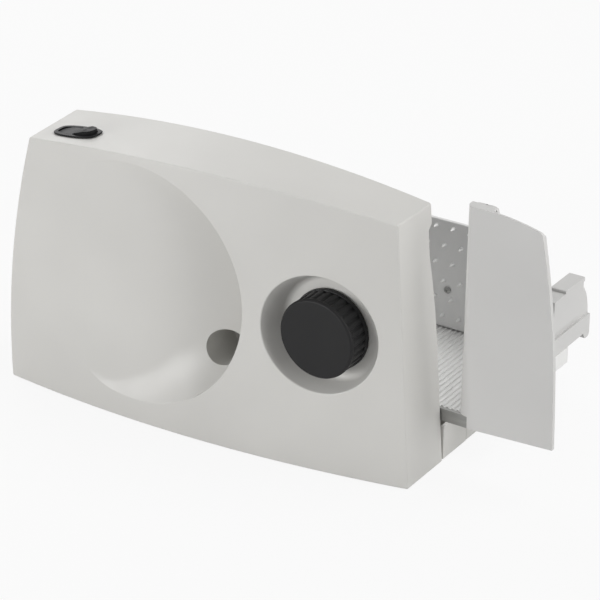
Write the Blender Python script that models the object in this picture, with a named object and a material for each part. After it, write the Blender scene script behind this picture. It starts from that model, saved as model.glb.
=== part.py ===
"""Electric food slicer: a slim arched casing with a knob-set stop plate, a
round serrated blade behind the casing and a ribbed food carriage with a
spiked food holder.

Metres, +Z up. In the design frame X runs along the casing from its left side,
Y runs from the casing's front to the carriage and Z is the height over the
table. One empty moves that frame so that the part's origin is the middle of
its underside.
"""

import math

import bmesh
import bpy
from mathutils import Matrix, Vector

# Clearances and counts that all pieces share
SEAT_GAP = 0.0003
RUNNING_GAP = 0.0003
FREE_GAP = 0.0010
OVERRUN = 0.0100
MERGE_DISTANCE = 0.000001
ROUND_SEGMENTS = 24
DISH_SEGMENTS = 36
SMALL_SEGMENTS = 10
SHARP_ANGLE = math.radians(35)
BEVEL_ANGLE = math.radians(50)

# Casing outline
CASING_LENGTH = 0.3200
CASING_HEIGHT = 0.1990
CASING_WALL = 0.0025
CASING_EDGE_ROUND = 0.0030
ARCH_PEAK_X = CASING_LENGTH * 0.509375
ARCH_RADIUS = 0.9630
LEFT_SIDE_RADIUS = 0.5900
LEFT_WIDEST_Z = 0.0300
LEFT_FLARE = 0.0047
RIGHT_SIDE_LEAN = 0.0130
FRONT_PROUD = 0.0136
FRONT_BULGE_X = CASING_LENGTH * 0.3396875
FRONT_RADIUS = 0.9410
FRONT_LEAN = 0.0060
REAR_DEPTH = 0.0555
REAR_TOP_DEPTH = 0.0505
WAIST_START_Z = 0.0850
WAIST_RADIUS = 0.4450
CASING_X_STEPS = 12
CASING_Z_STEPS = 8

# Undersides
FOOT_PROUD = 0.0006
BASE_UNDERSIDE_Z = 0.0018
BASE_FLOOR_THICKNESS = 0.0030

# Scoop in the casing's front
SCOOP_X = CASING_LENGTH * 0.35
SCOOP_Z = CASING_HEIGHT * 0.522613
SCOOP_RADIUS = min(CASING_LENGTH * 0.2734375, CASING_HEIGHT * 0.4396985)
SCOOP_START_X = CASING_LENGTH * 0.171875
SCOOP_DEPTH = 0.0340
SCOOP_SKIM = 0.0005
SCOOP_RAMP_TABLE = ((-180, 0.006), (-105, 0.006), (-90, 0.018), (-60, 0.033), (-33, 0.030),
                    (180, 0.030))
SCOOP_RAMP_POWER = 1.4
SCOOP_FILLET = 0.0060
SCOOP_FRONT_Y = -0.0400
SCOOP_RIM_SHARE = 0.75
SCOOP_RING_SHARES = (0.0, 0.3, 0.5, 0.64, 0.74, 0.83, 0.91, 0.96, 1.0)
SCOOP_SEGMENTS = 36
RAMP_FULL_ANGLE = math.radians(-62)
RAMP_END_ANGLE = math.radians(-28)

# Cord pocket in the scoop
POCKET_X = SCOOP_X + SCOOP_RADIUS * 0.7028571
POCKET_Z = SCOOP_Z - SCOOP_RADIUS * 0.4514286
POCKET_RADIUS = 0.0125
POCKET_FLOOR_Y = 0.0400
GLAND_RADIUS = 0.0070
GLAND_BORE_RADIUS = 0.0032
GLAND_LENGTH = 0.0040
GLAND_LIP = 0.0012

# Thickness knob, its dish and its spindle
KNOB_X = CASING_LENGTH * 0.805
KNOB_Z = CASING_HEIGHT * 0.5090452
KNOB_RADIUS = 0.0279
KNOB_SKIRT_RADIUS = 0.0286
KNOB_RIB_HEIGHT = 0.0008
KNOB_RIBS = 30
KNOB_FRONT_Y = -0.0060
KNOB_REAR_Y = 0.0142
KNOB_SKIRT_LENGTH = 0.0035
KNOB_BORE_DEPTH = 0.0120
DISH_MOUTH_RADIUS = 0.0427
DISH_FLOOR_RADIUS = 0.0375
DISH_FLOOR_Y = 0.0150
DISH_FILLET = 0.0040
DISH_FRONT_Y = -0.0400
SPINDLE_RADIUS = 0.0050
SPINDLE_THREAD_RADIUS = 0.0060
KNOB_TURN_SHARE = 0.9167
SPINDLE_STARTS = 2
SPINDLE_STEPS_PER_TURN = 10
SPINDLE_BUSH_RADIUS = 0.0083
SPINDLE_BUSH_REAR_Y = 0.0210

# Rear cover, its drum and its posts
COVER_FRONT_Y = 0.0475
COVER_THICKNESS = 0.0025
COVER_FIT = 0.0005
DRUM_RADIUS = 0.0280
DRUM_LENGTH = 0.0115
POST_RADIUS = 0.0040
FRAME_POST_RADIUS = 0.0035

# Blade and what turns it
BLADE_X = CASING_LENGTH * 0.675
BLADE_Z = 0.0950
BLADE_RADIUS = 0.0850
BLADE_BORE_RADIUS = 0.0100
BLADE_FLAT_RADIUS = 0.0400
BLADE_BEVEL_RADIUS = 0.0760
BLADE_THICKNESS = 0.0012
BLADE_DISH = 0.0050
BLADE_FLAT_Y = 0.0646
BLADE_WAVE = 0.0010
BLADE_WAVES = 36
BLADE_SHAFT_RADIUS = 0.0050
BLADE_SHAFT_FRONT_Y = 0.0184
BUSH_RADIUS = 0.0080
BUSH_LENGTH = 0.0060
HUB_RADIUS = 0.0180
HUB_FLANGE = 0.0025
LOCK_RADIUS = 0.0165
LOCK_THICKNESS = 0.0035
LOCK_GRIP_WIDTH = 0.0060
LOCK_GRIP_DEPTH = 0.0018

# Gear train
GEAR_FACE_FRONT_Y = 0.0330
GEAR_FACE = 0.0075
BLADE_GEAR_TEETH = 40
PINION_TEETH = 12
GEAR_MODULE = 0.0015
GEAR_BACKLASH = 0.0002
TOOTH_TIP_SHARE = 0.26
TOOTH_ROOT_SHARE = 0.58
ADDENDUM_SHARE = 0.90
DEDENDUM_SHARE = 1.25
WHEEL_TEETH = 32
WHEEL_MODULE = 0.0010
WHEEL_FRONT_Y = 0.0222
WORM_STARTS = 2
WORM_RADIUS = 0.0056
WORM_CORE_RADIUS = 0.0042
WORM_LENGTH = 0.0160
WORM_STEPS_PER_TURN = 8
REDUCTION_PIN_RADIUS = 0.0030

# Motor
MOTOR_Z = 0.0360
MOTOR_Y = 0.0260
MOTOR_RADIUS = 0.0170
MOTOR_LENGTH = 0.0440
MOTOR_NOSE_RADIUS = 0.0065
MOTOR_NOSE_LENGTH = 0.0035
MOTOR_EDGE_ROUND = 0.0020
MOTOR_SHAFT_RADIUS = 0.0025
MOTOR_FACE_GAP = 0.0085
SADDLE_WIDTH = 0.0160
SADDLE_MARGIN = 0.0030
STRAP_WIDTH = 0.0100
STRAP_THICKNESS = 0.0015

# Gear frame
FRAME_FRONT_Y = 0.0185
FRAME_THICKNESS = 0.0025
FRAME_MARGIN = 0.0050

# Stop plate, its arm, slide and rods
STOP_TRAVEL = 0.0140
STOP_SLIDE_Y = 0.0225
STOP_SLIDE_THICKNESS = 0.0080
STOP_NUT_WALL = 0.0032
STOP_BAR_HEIGHT = 0.0100
STOP_WEB_WIDTH = 0.0120
ROD_X = CASING_LENGTH - 0.0180
ROD_RADIUS = 0.0030
UPPER_ROD_Z = 0.0800
LOWER_ROD_Z = 0.0560
ROD_FRONT_Y = 0.0122
ARM_Z = 0.0310
ARM_HEIGHT = 0.0093
ARM_Y = 0.0560
ARM_THICKNESS = 0.0025
ARM_END_X = CASING_LENGTH + 0.0185
ARM_PAD_RIGHT_X = CASING_LENGTH + 0.0520
ARM_PAD_TOP_Z = 0.0780
ARM_SLOT_MARGIN = 0.0015
PLATE_LEFT_X = CASING_LENGTH + 0.0145
PLATE_RIGHT_X = CASING_LENGTH + 0.0829
PLATE_BOTTOM_Z = 0.0360
PLATE_TOP_Z = CASING_HEIGHT - 0.0025
PLATE_LEFT_THICKNESS = 0.0085
PLATE_RIGHT_THICKNESS = 0.0030
PLATE_NOTCH_WIDTH = 0.0070
PLATE_NOTCH_HEIGHT = 0.0085
PLATE_EDGE_ROUND = 0.0010
PLATE_NOSE_ROUND = 0.0050
PLATE_RIGHT_EDGE_SHARES = ((1.0, 0.0), (0.982, 0.29), (0.955, 0.49), (0.893, 0.715), (0.805, 0.95), (0.45, 0.988))
PLATE_LEFT_EDGE_SHARES = ((0.030, 1.0), (0.012, 0.38), (0.0, 0.09))
PLATE_TAB_WIDTH = 0.0180
PLATE_TAB_DEPTH = 0.0030
PLATE_TAB_INSET = 0.0022
PLATE_TAB_HEIGHT = 0.0260

# Blade guard
GUARD_RADIAL_GAP = 0.0015
GUARD_THICKNESS = 0.0028
GUARD_START_ANGLE = math.radians(50)
GUARD_END_ANGLE = math.radians(260)
GUARD_SEGMENTS = 30
GUARD_REAR_Y = 0.0700

# Bases
BASE_SPLIT_Y = 0.0865
BASE_SKIRT_Z = 0.0270
CARRIAGE_BASE_LEFT_X = CASING_LENGTH * 0.09375
CARRIAGE_BASE_REAR_Y = 0.1810
CARRIAGE_BASE_TOP_Z = 0.0260
BASE_WALL = 0.0025
RAIL_Y = 0.1130
RAIL_Z = 0.0170
RAIL_RADIUS = 0.0040
RAIL_BOSS_RADIUS = 0.0068
RAIL_BOSS_LENGTH = 0.0050
RAIL_SLOT_WIDTH = 0.0146
RAIL_SLOT_MARGIN = 0.0110

# Feet
FOOT_RADIUS = 0.0080
FOOT_STEM_RADIUS = 0.0025
FOOT_INSET_X = 0.0220
FOOT_INSET_Y = 0.0140
FRONT_FOOT_Y = 0.0240

# Carriage
CARRIAGE_LEFT_X = CASING_LENGTH - 0.1140
CARRIAGE_RIGHT_X = CASING_LENGTH + 0.0260
CARRIAGE_NEAR_Y = 0.0745
CARRIAGE_REAR_Y = 0.1815
CARRIAGE_UNDERSIDE_Z = 0.0280
CARRIAGE_FLOOR = 0.0020
RIB_HEIGHT = 0.0010
RIB_PITCH = 0.0040
RIB_WIDTH = 0.0020
CARRIAGE_LIP = 0.0030
CARRIAGE_LIP_Z = 0.0400
CARRIAGE_SILL_WIDTH = 0.0120
CARRIAGE_SILL_WALL = 0.0025
CARRIAGE_LEFT_LIP_Z = 0.0340
GLIDE_Y = 0.1680
GLIDE_WIDTH = 0.0060
GLIDE_INSET = 0.0060
SHOE_LENGTH = 0.0180
SHOE_WIDTH = 0.0130
SHOE_BOTTOM_Z = 0.0100
SHOE_INSET = 0.0080
RIGHT_SHOE_INSET = 0.0340
TRAY_WALL_FRONT_Y = 0.1790

# Carriage wall, which the food holder rides on
GUIDE_LEFT_X = CARRIAGE_RIGHT_X - 0.0094
GUIDE_RIGHT_X = CARRIAGE_RIGHT_X - 0.0020
GUIDE_FOOT_LEFT_X = CARRIAGE_RIGHT_X - CARRIAGE_SILL_WIDTH
GUIDE_LEDGE_Z = 0.0534
GUIDE_TOP_Z = 0.0815
GUIDE_REAR_Y = 0.2130
GUIDE_NEAR_SHARES = ((0.0, 0.24), (0.008, 0.38), (0.062, 0.72), (0.184, 1.0))
GUIDE_REAR_SHARES = ((0.877, 1.0), (0.895, 0.993), (0.939, 0.88), (0.975, 0.70), (0.994, 0.48), (1.0, 0.24))
GUIDE_TOE_SHARES = ((0.935, 0.0), (0.950, -0.34), (0.960, -0.38), (0.985, -0.38), (1.0, -0.26))

# Food holder
SPIKE_PLATE_LEFT_X = CARRIAGE_LEFT_X + 0.0100
SPIKE_PLATE_RIGHT_X = CARRIAGE_RIGHT_X - 0.0200
SPIKE_PLATE_FRONT_Y = 0.1745
SPIKE_PLATE_THICKNESS = 0.0030
SPIKE_PLATE_BOTTOM_Z = 0.0314
SPIKE_PLATE_TOP_Z = 0.1150
SPIKE_FIRST_X = SPIKE_PLATE_LEFT_X + 0.0124
SPIKE_FIRST_Z = 0.0410
SPIKE_PITCH_X = 0.0136
SPIKE_PITCH_Z = 0.0138
SPIKE_COLUMNS = 7
SPIKE_ROWS = 6
SPIKE_RADIUS = 0.0015
SPIKE_LENGTH = 0.0045
SPIKE_SIDES = 5
HOLDER_LEFT_X = CARRIAGE_LEFT_X + 0.0160
HOLDER_RIGHT_X = CARRIAGE_RIGHT_X
HOLDER_TOP_Z = 0.0700
HOLDER_BOTTOM_Z = 0.0435
HOLDER_FLANGE = 0.0028
HOLDER_FLANGE_REAR_Y = 0.2010
HOLDER_REAR_Y = 0.2035
HOLDER_HOLLOW_WALL = 0.0028
RECESS_DEPTH = 0.0300
HOLDER_BACK_SHARES = ((0.40, 1.0), (0.52, 0.87), (0.72, 0.62), (0.86, 0.34), (0.90, 0.14), (0.80, 0.0))
HOLDER_RECESS_SHARES = ((0, 0), (0, 1), (0.34, 1), (0.52, 0.82), (0.76, 0.52), (0.88, 0.2), (0.8, 0))
SADDLE_LEFT_X = GUIDE_FOOT_LEFT_X
SADDLE_FRONT_Y = 0.1580
SADDLE_REAR_Y = 0.2006
SADDLE_SKIRT_Z = 0.0590
SADDLE_INNER_SKIRT_Z = 0.0568
SADDLE_LOW_TOP_Z = 0.0838
SADDLE_TOP_Z = 0.0860
SADDLE_CAP_FRONT_Y = 0.1740
SADDLE_CAP_REAR_Y = 0.2022

# Switch
SWITCH_X = 0.0290 + (CASING_HEIGHT - LEFT_WIDEST_Z) ** 2 / (2 * LEFT_SIDE_RADIUS)
SWITCH_Y = 0.0132
SWITCH_HALF_LENGTH = 0.0178
SWITCH_HALF_WIDTH = 0.0098
SWITCH_BEZEL_WIDTH = 0.0028
SWITCH_BEZEL_HEIGHT = 0.0014
SWITCH_SKIRT_WALL = 0.0010
SWITCH_SKIRT_DEPTH = 0.0055
SWITCH_BODY_LENGTH = 0.0270
SWITCH_BODY_WIDTH = 0.0130
SWITCH_BODY_HEIGHT = 0.0150
ROCKER_HIGH_END = 0.0052
ROCKER_TOP_SHARES = ((1.0, 0.80), (0.85, 1.0), (0.45, 0.65), (0.0, 0.31), (-0.5, 0.23), (-1.0, 0.13))
ROCKER_UNDERSIDE = 0.0016
OVAL_SEGMENTS = 28

# Screws
SCREW_HEAD_RADIUS = 0.0028
SCREW_HEAD_HEIGHT = 0.0012
SCREW_SHANK_RADIUS = 0.0012
SCREW_SHANK_LENGTH = 0.0080
SCREW_HOLE_RADIUS = 0.0016

# Places that follow from the sizes
COVER_REAR_Y = COVER_FRONT_Y + COVER_THICKNESS
SPINDLE_LEAD = STOP_TRAVEL / KNOB_TURN_SHARE
DRUM_REAR_Y = COVER_REAR_Y + DRUM_LENGTH
BASE_FLOOR_TOP_Z = BASE_UNDERSIDE_Z + BASE_FLOOR_THICKNESS
FRAME_REAR_Y = FRAME_FRONT_Y + FRAME_THICKNESS
BLADE_GEAR_RADIUS = GEAR_MODULE * BLADE_GEAR_TEETH / 2
PINION_RADIUS = GEAR_MODULE * PINION_TEETH / 2
WHEEL_RADIUS = WHEEL_MODULE * WHEEL_TEETH / 2
WHEEL_TIP_RADIUS = WHEEL_RADIUS + WHEEL_MODULE * ADDENDUM_SHARE
REDUCTION_Z = MOTOR_Z + WORM_RADIUS + WHEEL_TIP_RADIUS + RUNNING_GAP
GEAR_DISTANCE = BLADE_GEAR_RADIUS + PINION_RADIUS + GEAR_BACKLASH
REDUCTION_DROP = BLADE_Z - REDUCTION_Z
REDUCTION_X = BLADE_X + math.sqrt(max(GEAR_DISTANCE ** 2 - REDUCTION_DROP ** 2, 0))
WHEEL_WIDTH = 2 * (MOTOR_Y - WHEEL_FRONT_Y)
MOTOR_LEFT_X = REDUCTION_X + WORM_LENGTH / 2 + MOTOR_FACE_GAP
MOTOR_RIGHT_X = MOTOR_LEFT_X + MOTOR_LENGTH
HUB_FRONT_Y = DRUM_REAR_Y + RUNNING_GAP
BLADE_SHAFT_REAR_Y = BLADE_FLAT_Y + BLADE_THICKNESS
LOCK_FRONT_Y = BLADE_SHAFT_REAR_Y + SEAT_GAP
RIB_TOP_Z = CARRIAGE_UNDERSIDE_Z + CARRIAGE_FLOOR + RIB_HEIGHT
PLATE_REAR_Y = ARM_Y - SEAT_GAP
PLATE_WIDTH = PLATE_RIGHT_X - PLATE_LEFT_X
PLATE_HEIGHT = PLATE_TOP_Z - PLATE_BOTTOM_Z
SPIKE_PLATE_REAR_Y = SPIKE_PLATE_FRONT_Y + SPIKE_PLATE_THICKNESS
HOLDER_FRONT_Y = SPIKE_PLATE_REAR_Y + SEAT_GAP
CENTRE_X = PLATE_RIGHT_X / 2
CENTRE_Y = (GUIDE_REAR_Y - FRONT_PROUD) / 2

# Screw places as shares of the casing's length and height
COVER_SCREW_SHARES = ((0.070, 0.150), (0.096, 0.750), (0.781, 0.925), (0.925, 0.820), (0.947, 0.078))

# Gear frame screws as offsets from the blade's centre
FRAME_SCREW_OFFSETS = ((-0.0130, 0.0419), (0.0080, 0.0449), (-0.0130, -0.0371))

LEFT_SHOE_X = CARRIAGE_LEFT_X + SHOE_INSET
RIGHT_SHOE_X = CARRIAGE_RIGHT_X - RIGHT_SHOE_INSET - SHOE_LENGTH

AXIS_TURNS = {
    "X": Matrix.Rotation(math.pi / 2, 3, "Y"),
    "Y": Matrix.Rotation(-math.pi / 2, 3, "X"),
    "Z": Matrix.Identity(3),
}


def casing_top(x):
    """Height of the arched top."""
    return CASING_HEIGHT - (x - ARCH_PEAK_X) ** 2 / (2 * ARCH_RADIUS)


def casing_left(z):
    """The bulging left side."""
    return (z - LEFT_WIDEST_Z) ** 2 / (2 * LEFT_SIDE_RADIUS)


def casing_flare(y, z):
    """How far the left side spreads outwards, high up and towards the rear."""
    rise = max(z - LEFT_WIDEST_Z, 0) / (CASING_HEIGHT - LEFT_WIDEST_Z)
    return LEFT_FLARE * rise ** 2 * max(y, 0) / REAR_TOP_DEPTH


def casing_right(z):
    """The right side, which leans in towards the top."""
    return CASING_LENGTH - RIGHT_SIDE_LEAN * z / CASING_HEIGHT


def casing_front(x, z):
    """The front, a shallow arc in plan that leans back a little."""
    bulge = (x - FRONT_BULGE_X) ** 2 / (2 * FRONT_RADIUS)
    return bulge - FRONT_PROUD + FRONT_LEAN * z / CASING_HEIGHT


def casing_rear(z):
    """The rear edge, which steps in above the waist."""
    drop = max(z - WAIST_START_Z, 0) ** 2 / (2 * WAIST_RADIUS)
    return max(REAR_DEPTH - drop, REAR_TOP_DEPTH)


def smooth_step(value):
    """Ease from 0 to 1."""
    share = min(max(value, 0), 1)
    return share * share * (3 - 2 * share)


def make_material(name, colour, roughness, metallic=0.0):
    """A plain Principled material."""
    material = bpy.data.materials.new(name)
    material.use_nodes = True
    shader = material.node_tree.nodes["Principled BSDF"]
    shader.inputs["Base Color"].default_value = (*colour, 1.0)
    shader.inputs["Roughness"].default_value = roughness
    shader.inputs["Metallic"].default_value = metallic
    return material


def make_group(name, place, parent=None):
    """An empty on a joint's axis, placed in the design frame."""
    empty = bpy.data.objects.new(name, None)
    bpy.context.collection.objects.link(empty)
    empty.empty_display_size = OVERRUN
    empty["place"] = tuple(place)
    if parent is not None:
        empty.parent = parent
        place = Vector(place) - Vector(parent["place"])
    empty.location = place
    return empty


def put(name, bm, look, group, place=(0, 0, 0)):
    """Turn a bmesh into a named object under its group, at a design place."""
    bmesh.ops.recalc_face_normals(bm, faces=bm.faces)
    mesh = bpy.data.meshes.new(name)
    bm.to_mesh(mesh)
    bm.free()
    mesh.shade_smooth()
    mesh.set_sharp_from_angle(angle=SHARP_ANGLE)
    mesh.materials.append(LOOKS[look])
    obj = bpy.data.objects.new(name, mesh)
    bpy.context.collection.objects.link(obj)
    obj.parent = group
    obj.location = Vector(place) - Vector(group["place"])
    return obj


def combine(target, tool, operation="DIFFERENCE"):
    """Cut, join or intersect the target with a tool body that stays hidden."""
    modifier = target.modifiers.new(tool.name, "BOOLEAN")
    modifier.operation = operation
    modifier.solver = "MANIFOLD"
    modifier.object = tool
    tool.hide_render = True
    tool.display_type = "WIRE"


def turned(profile, segments=ROUND_SEGMENTS, axis="Z", closed=False):
    """Spin a profile of (radius, height) points round an axis."""
    bm = bmesh.new()
    points = [bm.verts.new((radius, 0, height)) for radius, height in profile]
    pairs = list(zip(points, points[1:]))
    if closed:
        pairs.append((points[-1], points[0]))
    edges = [bm.edges.new(pair) for pair in pairs]
    bmesh.ops.spin(bm, geom=points + edges, cent=(0, 0, 0), axis=(0, 0, 1), angle=2 * math.pi, steps=segments)
    bmesh.ops.remove_doubles(bm, verts=bm.verts, dist=MERGE_DISTANCE)
    bmesh.ops.rotate(bm, verts=bm.verts, cent=(0, 0, 0), matrix=AXIS_TURNS[axis])
    return bm


def disc(radius, start, end, axis="Z", segments=ROUND_SEGMENTS):
    """A solid cylinder from start to end along its axis."""
    return turned([(0, start), (radius, start), (radius, end), (0, end)], segments, axis)


def ring(inner, outer, start, end, axis="Z", segments=ROUND_SEGMENTS):
    """A tube from start to end along its axis."""
    profile = [(inner, start), (outer, start), (outer, end), (inner, end)]
    return turned(profile, segments, axis, closed=True)


def extruded(outline, start, end, axis):
    """Extrude an outline along an axis; its points are the other two coordinates."""
    bm = bmesh.new()
    order = {"X": (2, 0, 1), "Y": (0, 2, 1), "Z": (0, 1, 2)}[axis]
    corners = []
    for first, second in outline:
        values = (first, second, start)
        corners.append(bm.verts.new([values[index] for index in order]))
    face = bm.faces.new(corners)
    shift = Vector([(0, 0, end - start)[index] for index in order])
    grown = bmesh.ops.extrude_face_region(bm, geom=[face])
    moved = [item for item in grown["geom"] if isinstance(item, bmesh.types.BMVert)]
    bmesh.ops.translate(bm, verts=moved, vec=shift)
    return bm


def block(low, high, rounding=0):
    """A box between two corners, with its edges bevelled where asked."""
    low = Vector(low)
    high = Vector(high)
    bm = bmesh.new()
    bmesh.ops.create_cube(bm, size=1)
    bmesh.ops.scale(bm, verts=bm.verts, vec=high - low)
    bmesh.ops.translate(bm, verts=bm.verts, vec=(low + high) / 2)
    if rounding:
        bmesh.ops.bevel(bm, geom=bm.edges[:], offset=rounding, segments=1, affect="EDGES")
    return bm


def lattice(steps, place):
    """A closed box lattice whose unit points are moved by a place function."""
    bm = bmesh.new()
    bmesh.ops.create_cube(bm, size=1)
    for axis, count in enumerate(steps):
        along = []
        for edge in bm.edges:
            span = edge.verts[1].co - edge.verts[0].co
            if max(range(3), key=lambda index: abs(span[index])) == axis:
                along.append(edge)
        if count > 1:
            bmesh.ops.subdivide_edges(bm, edges=along, cuts=count - 1, use_grid_fill=True)
    half = Vector((0.5, 0.5, 0.5))
    for vert in bm.verts:
        vert.co = place(*(vert.co + half))
    return bm


def casing_block(inset, low_z, top_inset, front_inset, rear):
    """The casing's outline as a lattice, grown inwards by the insets."""
    def place(across, deep, up):
        level = low_z + up * (CASING_HEIGHT - low_z)
        left = casing_left(level) + inset
        x = left + across * (casing_right(level) - inset - left)
        z = low_z + up * (casing_top(x) - top_inset - low_z)
        front = casing_front(x, z) + front_inset
        y = front + deep * (rear(z) - front)
        x -= (1 - across) * casing_flare(y, level)
        z = low_z + up * (casing_top(x) - top_inset - low_z)
        return x, y, z
    return lattice((CASING_X_STEPS, 1, CASING_Z_STEPS), place)


def cover_block():
    """The flat rear cover's outline, inside the casing's walls."""
    inset = CASING_WALL + COVER_FIT
    low = BASE_FLOOR_TOP_Z + SEAT_GAP

    def place(across, deep, up):
        level = low + up * (CASING_HEIGHT - low)
        left = casing_left(level) + inset
        x = left + across * (casing_right(level) - inset - left)
        y = COVER_FRONT_Y + deep * COVER_THICKNESS
        x -= (1 - across) * casing_flare(y, level)
        return x, y, low + up * (casing_top(x) - inset - low)
    return lattice((CASING_X_STEPS, 1, CASING_Z_STEPS), place)


def scoop_ramp_width(angle):
    """Width of the slope from the scoop's floor up to its lower rim."""
    turn = math.degrees(angle)
    for (low, first), (high, second) in zip(SCOOP_RAMP_TABLE, SCOOP_RAMP_TABLE[1:]):
        if turn <= high:
            return first + (second - first) * (turn - low) / (high - low)
    return SCOOP_RAMP_TABLE[-1][1]


def scoop_depth(x, angle, edge_distance):
    """How far the scoop's floor lies behind the casing's front."""
    reach = max(x - SCOOP_START_X, 0) / (SCOOP_X + SCOOP_RADIUS - SCOOP_START_X)
    full = SCOOP_DEPTH * reach ** 2
    fall = (angle - RAMP_FULL_ANGLE) / (RAMP_END_ANGLE - RAMP_FULL_ANGLE)
    fall_left = (-math.pi - RAMP_FULL_ANGLE - angle) / (RAMP_END_ANGLE - RAMP_FULL_ANGLE)
    ramp_part = 1 - smooth_step(max(fall, fall_left))
    ramp = 1 - max(1 - edge_distance / scoop_ramp_width(angle), 0) ** SCOOP_RAMP_POWER
    near = min(edge_distance / SCOOP_FILLET, 1)
    fillet = 1 - (1 - SCOOP_RIM_SHARE) * (1 - near) ** 2
    return full * (ramp_part * ramp + (1 - ramp_part) * fillet) - SCOOP_SKIM


def scoop_body(grow):
    """The scoop as a cutting body; grown by the wall it is the scoop's back."""
    radius = SCOOP_RADIUS + grow
    bm = turned([(share * radius, 0) for share in SCOOP_RING_SHARES], SCOOP_SEGMENTS, "Y")
    for vert in bm.verts:
        distance = math.hypot(vert.co.x, vert.co.z)
        angle = math.atan2(vert.co.z, vert.co.x)
        x = SCOOP_X + vert.co.x
        z = SCOOP_Z + vert.co.z
        depth = scoop_depth(x, angle, radius - distance)
        vert.co = (x, casing_front(x, z) + depth + grow, z)
    grown = bmesh.ops.extrude_face_region(bm, geom=bm.faces[:])
    for item in grown["geom"]:
        if isinstance(item, bmesh.types.BMVert):
            item.co.y = SCOOP_FRONT_Y
    return bm


def dish_body(grow):
    """The knob's dish as a cutting body."""
    slope = (DISH_MOUTH_RADIUS - DISH_FLOOR_RADIUS) / DISH_FLOOR_Y
    floor_radius = DISH_FLOOR_RADIUS + grow
    floor = DISH_FLOOR_Y + grow
    front_radius = floor_radius + (floor - DISH_FRONT_Y) * slope
    fillet_radius = floor_radius + DISH_FILLET * slope
    profile = [
        (0, floor),
        (floor_radius - DISH_FILLET, floor),
        (fillet_radius - DISH_FILLET / 3, floor - DISH_FILLET / 3),
        (fillet_radius, floor - DISH_FILLET),
        (front_radius, DISH_FRONT_Y),
        (0, DISH_FRONT_Y),
    ]
    return turned(profile, DISH_SEGMENTS, "Y")


def oval(half_length, half_width, count=OVAL_SEGMENTS):
    """Points of an oval with fuller ends than an ellipse."""
    points = []
    for step in range(count):
        angle = 2 * math.pi * step / count
        cosine = math.cos(angle)
        sine = math.sin(angle)
        points.append((half_length * cosine, half_width * math.copysign(math.sqrt(abs(sine)), sine)))
    return points


def toothed(teeth, radius, module, phase):
    """Outline of a spur gear with straight-sided teeth; phase centres a tooth."""
    pitch = 2 * math.pi / teeth
    tip = radius + module * ADDENDUM_SHARE
    root = radius - module * DEDENDUM_SHARE
    outline = []
    for tooth in range(teeth):
        middle = phase + tooth * pitch
        for reach, share in ((root, -TOOTH_ROOT_SHARE), (tip, -TOOTH_TIP_SHARE),
                             (tip, TOOTH_TIP_SHARE), (root, TOOTH_ROOT_SHARE)):
            angle = middle + share * pitch / 2
            outline.append((reach * math.cos(angle), reach * math.sin(angle)))
    return outline


def twisted(core, crest, starts, lead, length, steps_per_turn, axis, plain=0):
    """A bar with helical crests; the first stretch can be plain."""
    bm = bmesh.new()
    sides = 6 * int(round(starts))
    steps = max(int(round(abs((length - plain) / lead) * steps_per_turn)), 1)
    heights = [0] if plain else []
    heights += [plain + (length - plain) * step / steps for step in range(steps + 1)]
    rows = []
    for level, height in enumerate(heights):
        row = []
        turn = 2 * math.pi * height / lead
        threaded = level > 1 or not plain
        for side in range(sides):
            angle = 2 * math.pi * side / sides
            crested = threaded and side % 6 in (0, 1)
            radius = crest if crested else core
            around = angle + turn
            row.append(bm.verts.new((radius * math.cos(around), radius * math.sin(around), height)))
        rows.append(row)
    for low, high in zip(rows, rows[1:]):
        for side in range(sides):
            after = (side + 1) % sides
            bm.faces.new((low[side], low[after], high[after], high[side]))
    bm.faces.new(rows[0])
    bm.faces.new(rows[-1])
    bmesh.ops.rotate(bm, verts=bm.verts, cent=(0, 0, 0), matrix=AXIS_TURNS[axis])
    return bm


def shift(bm, vector):
    """Move a bmesh."""
    bmesh.ops.translate(bm, verts=bm.verts, vec=vector)
    return bm


def screw_body(axis, turn_over=False):
    """A pan-head screw whose head's underside is at its origin."""
    profile = [
        (0, -SCREW_SHANK_LENGTH),
        (SCREW_SHANK_RADIUS, -SCREW_SHANK_LENGTH),
        (SCREW_SHANK_RADIUS, 0),
        (SCREW_HEAD_RADIUS, 0),
        (SCREW_HEAD_RADIUS, SCREW_HEAD_HEIGHT),
        (0, SCREW_HEAD_HEIGHT),
    ]
    if turn_over:
        profile = [(radius, -height) for radius, height in profile]
    return turned(profile, SMALL_SEGMENTS, axis)


def cover_screw_places():
    """Where the rear cover's screws sit, in X and Z."""
    return [(x * CASING_LENGTH, z * CASING_HEIGHT) for x, z in COVER_SCREW_SHARES]


def frame_screw_places():
    """Where the gear frame's screws sit, in X and Z."""
    return [(BLADE_X + across, BLADE_Z + up) for across, up in FRAME_SCREW_OFFSETS]


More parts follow.
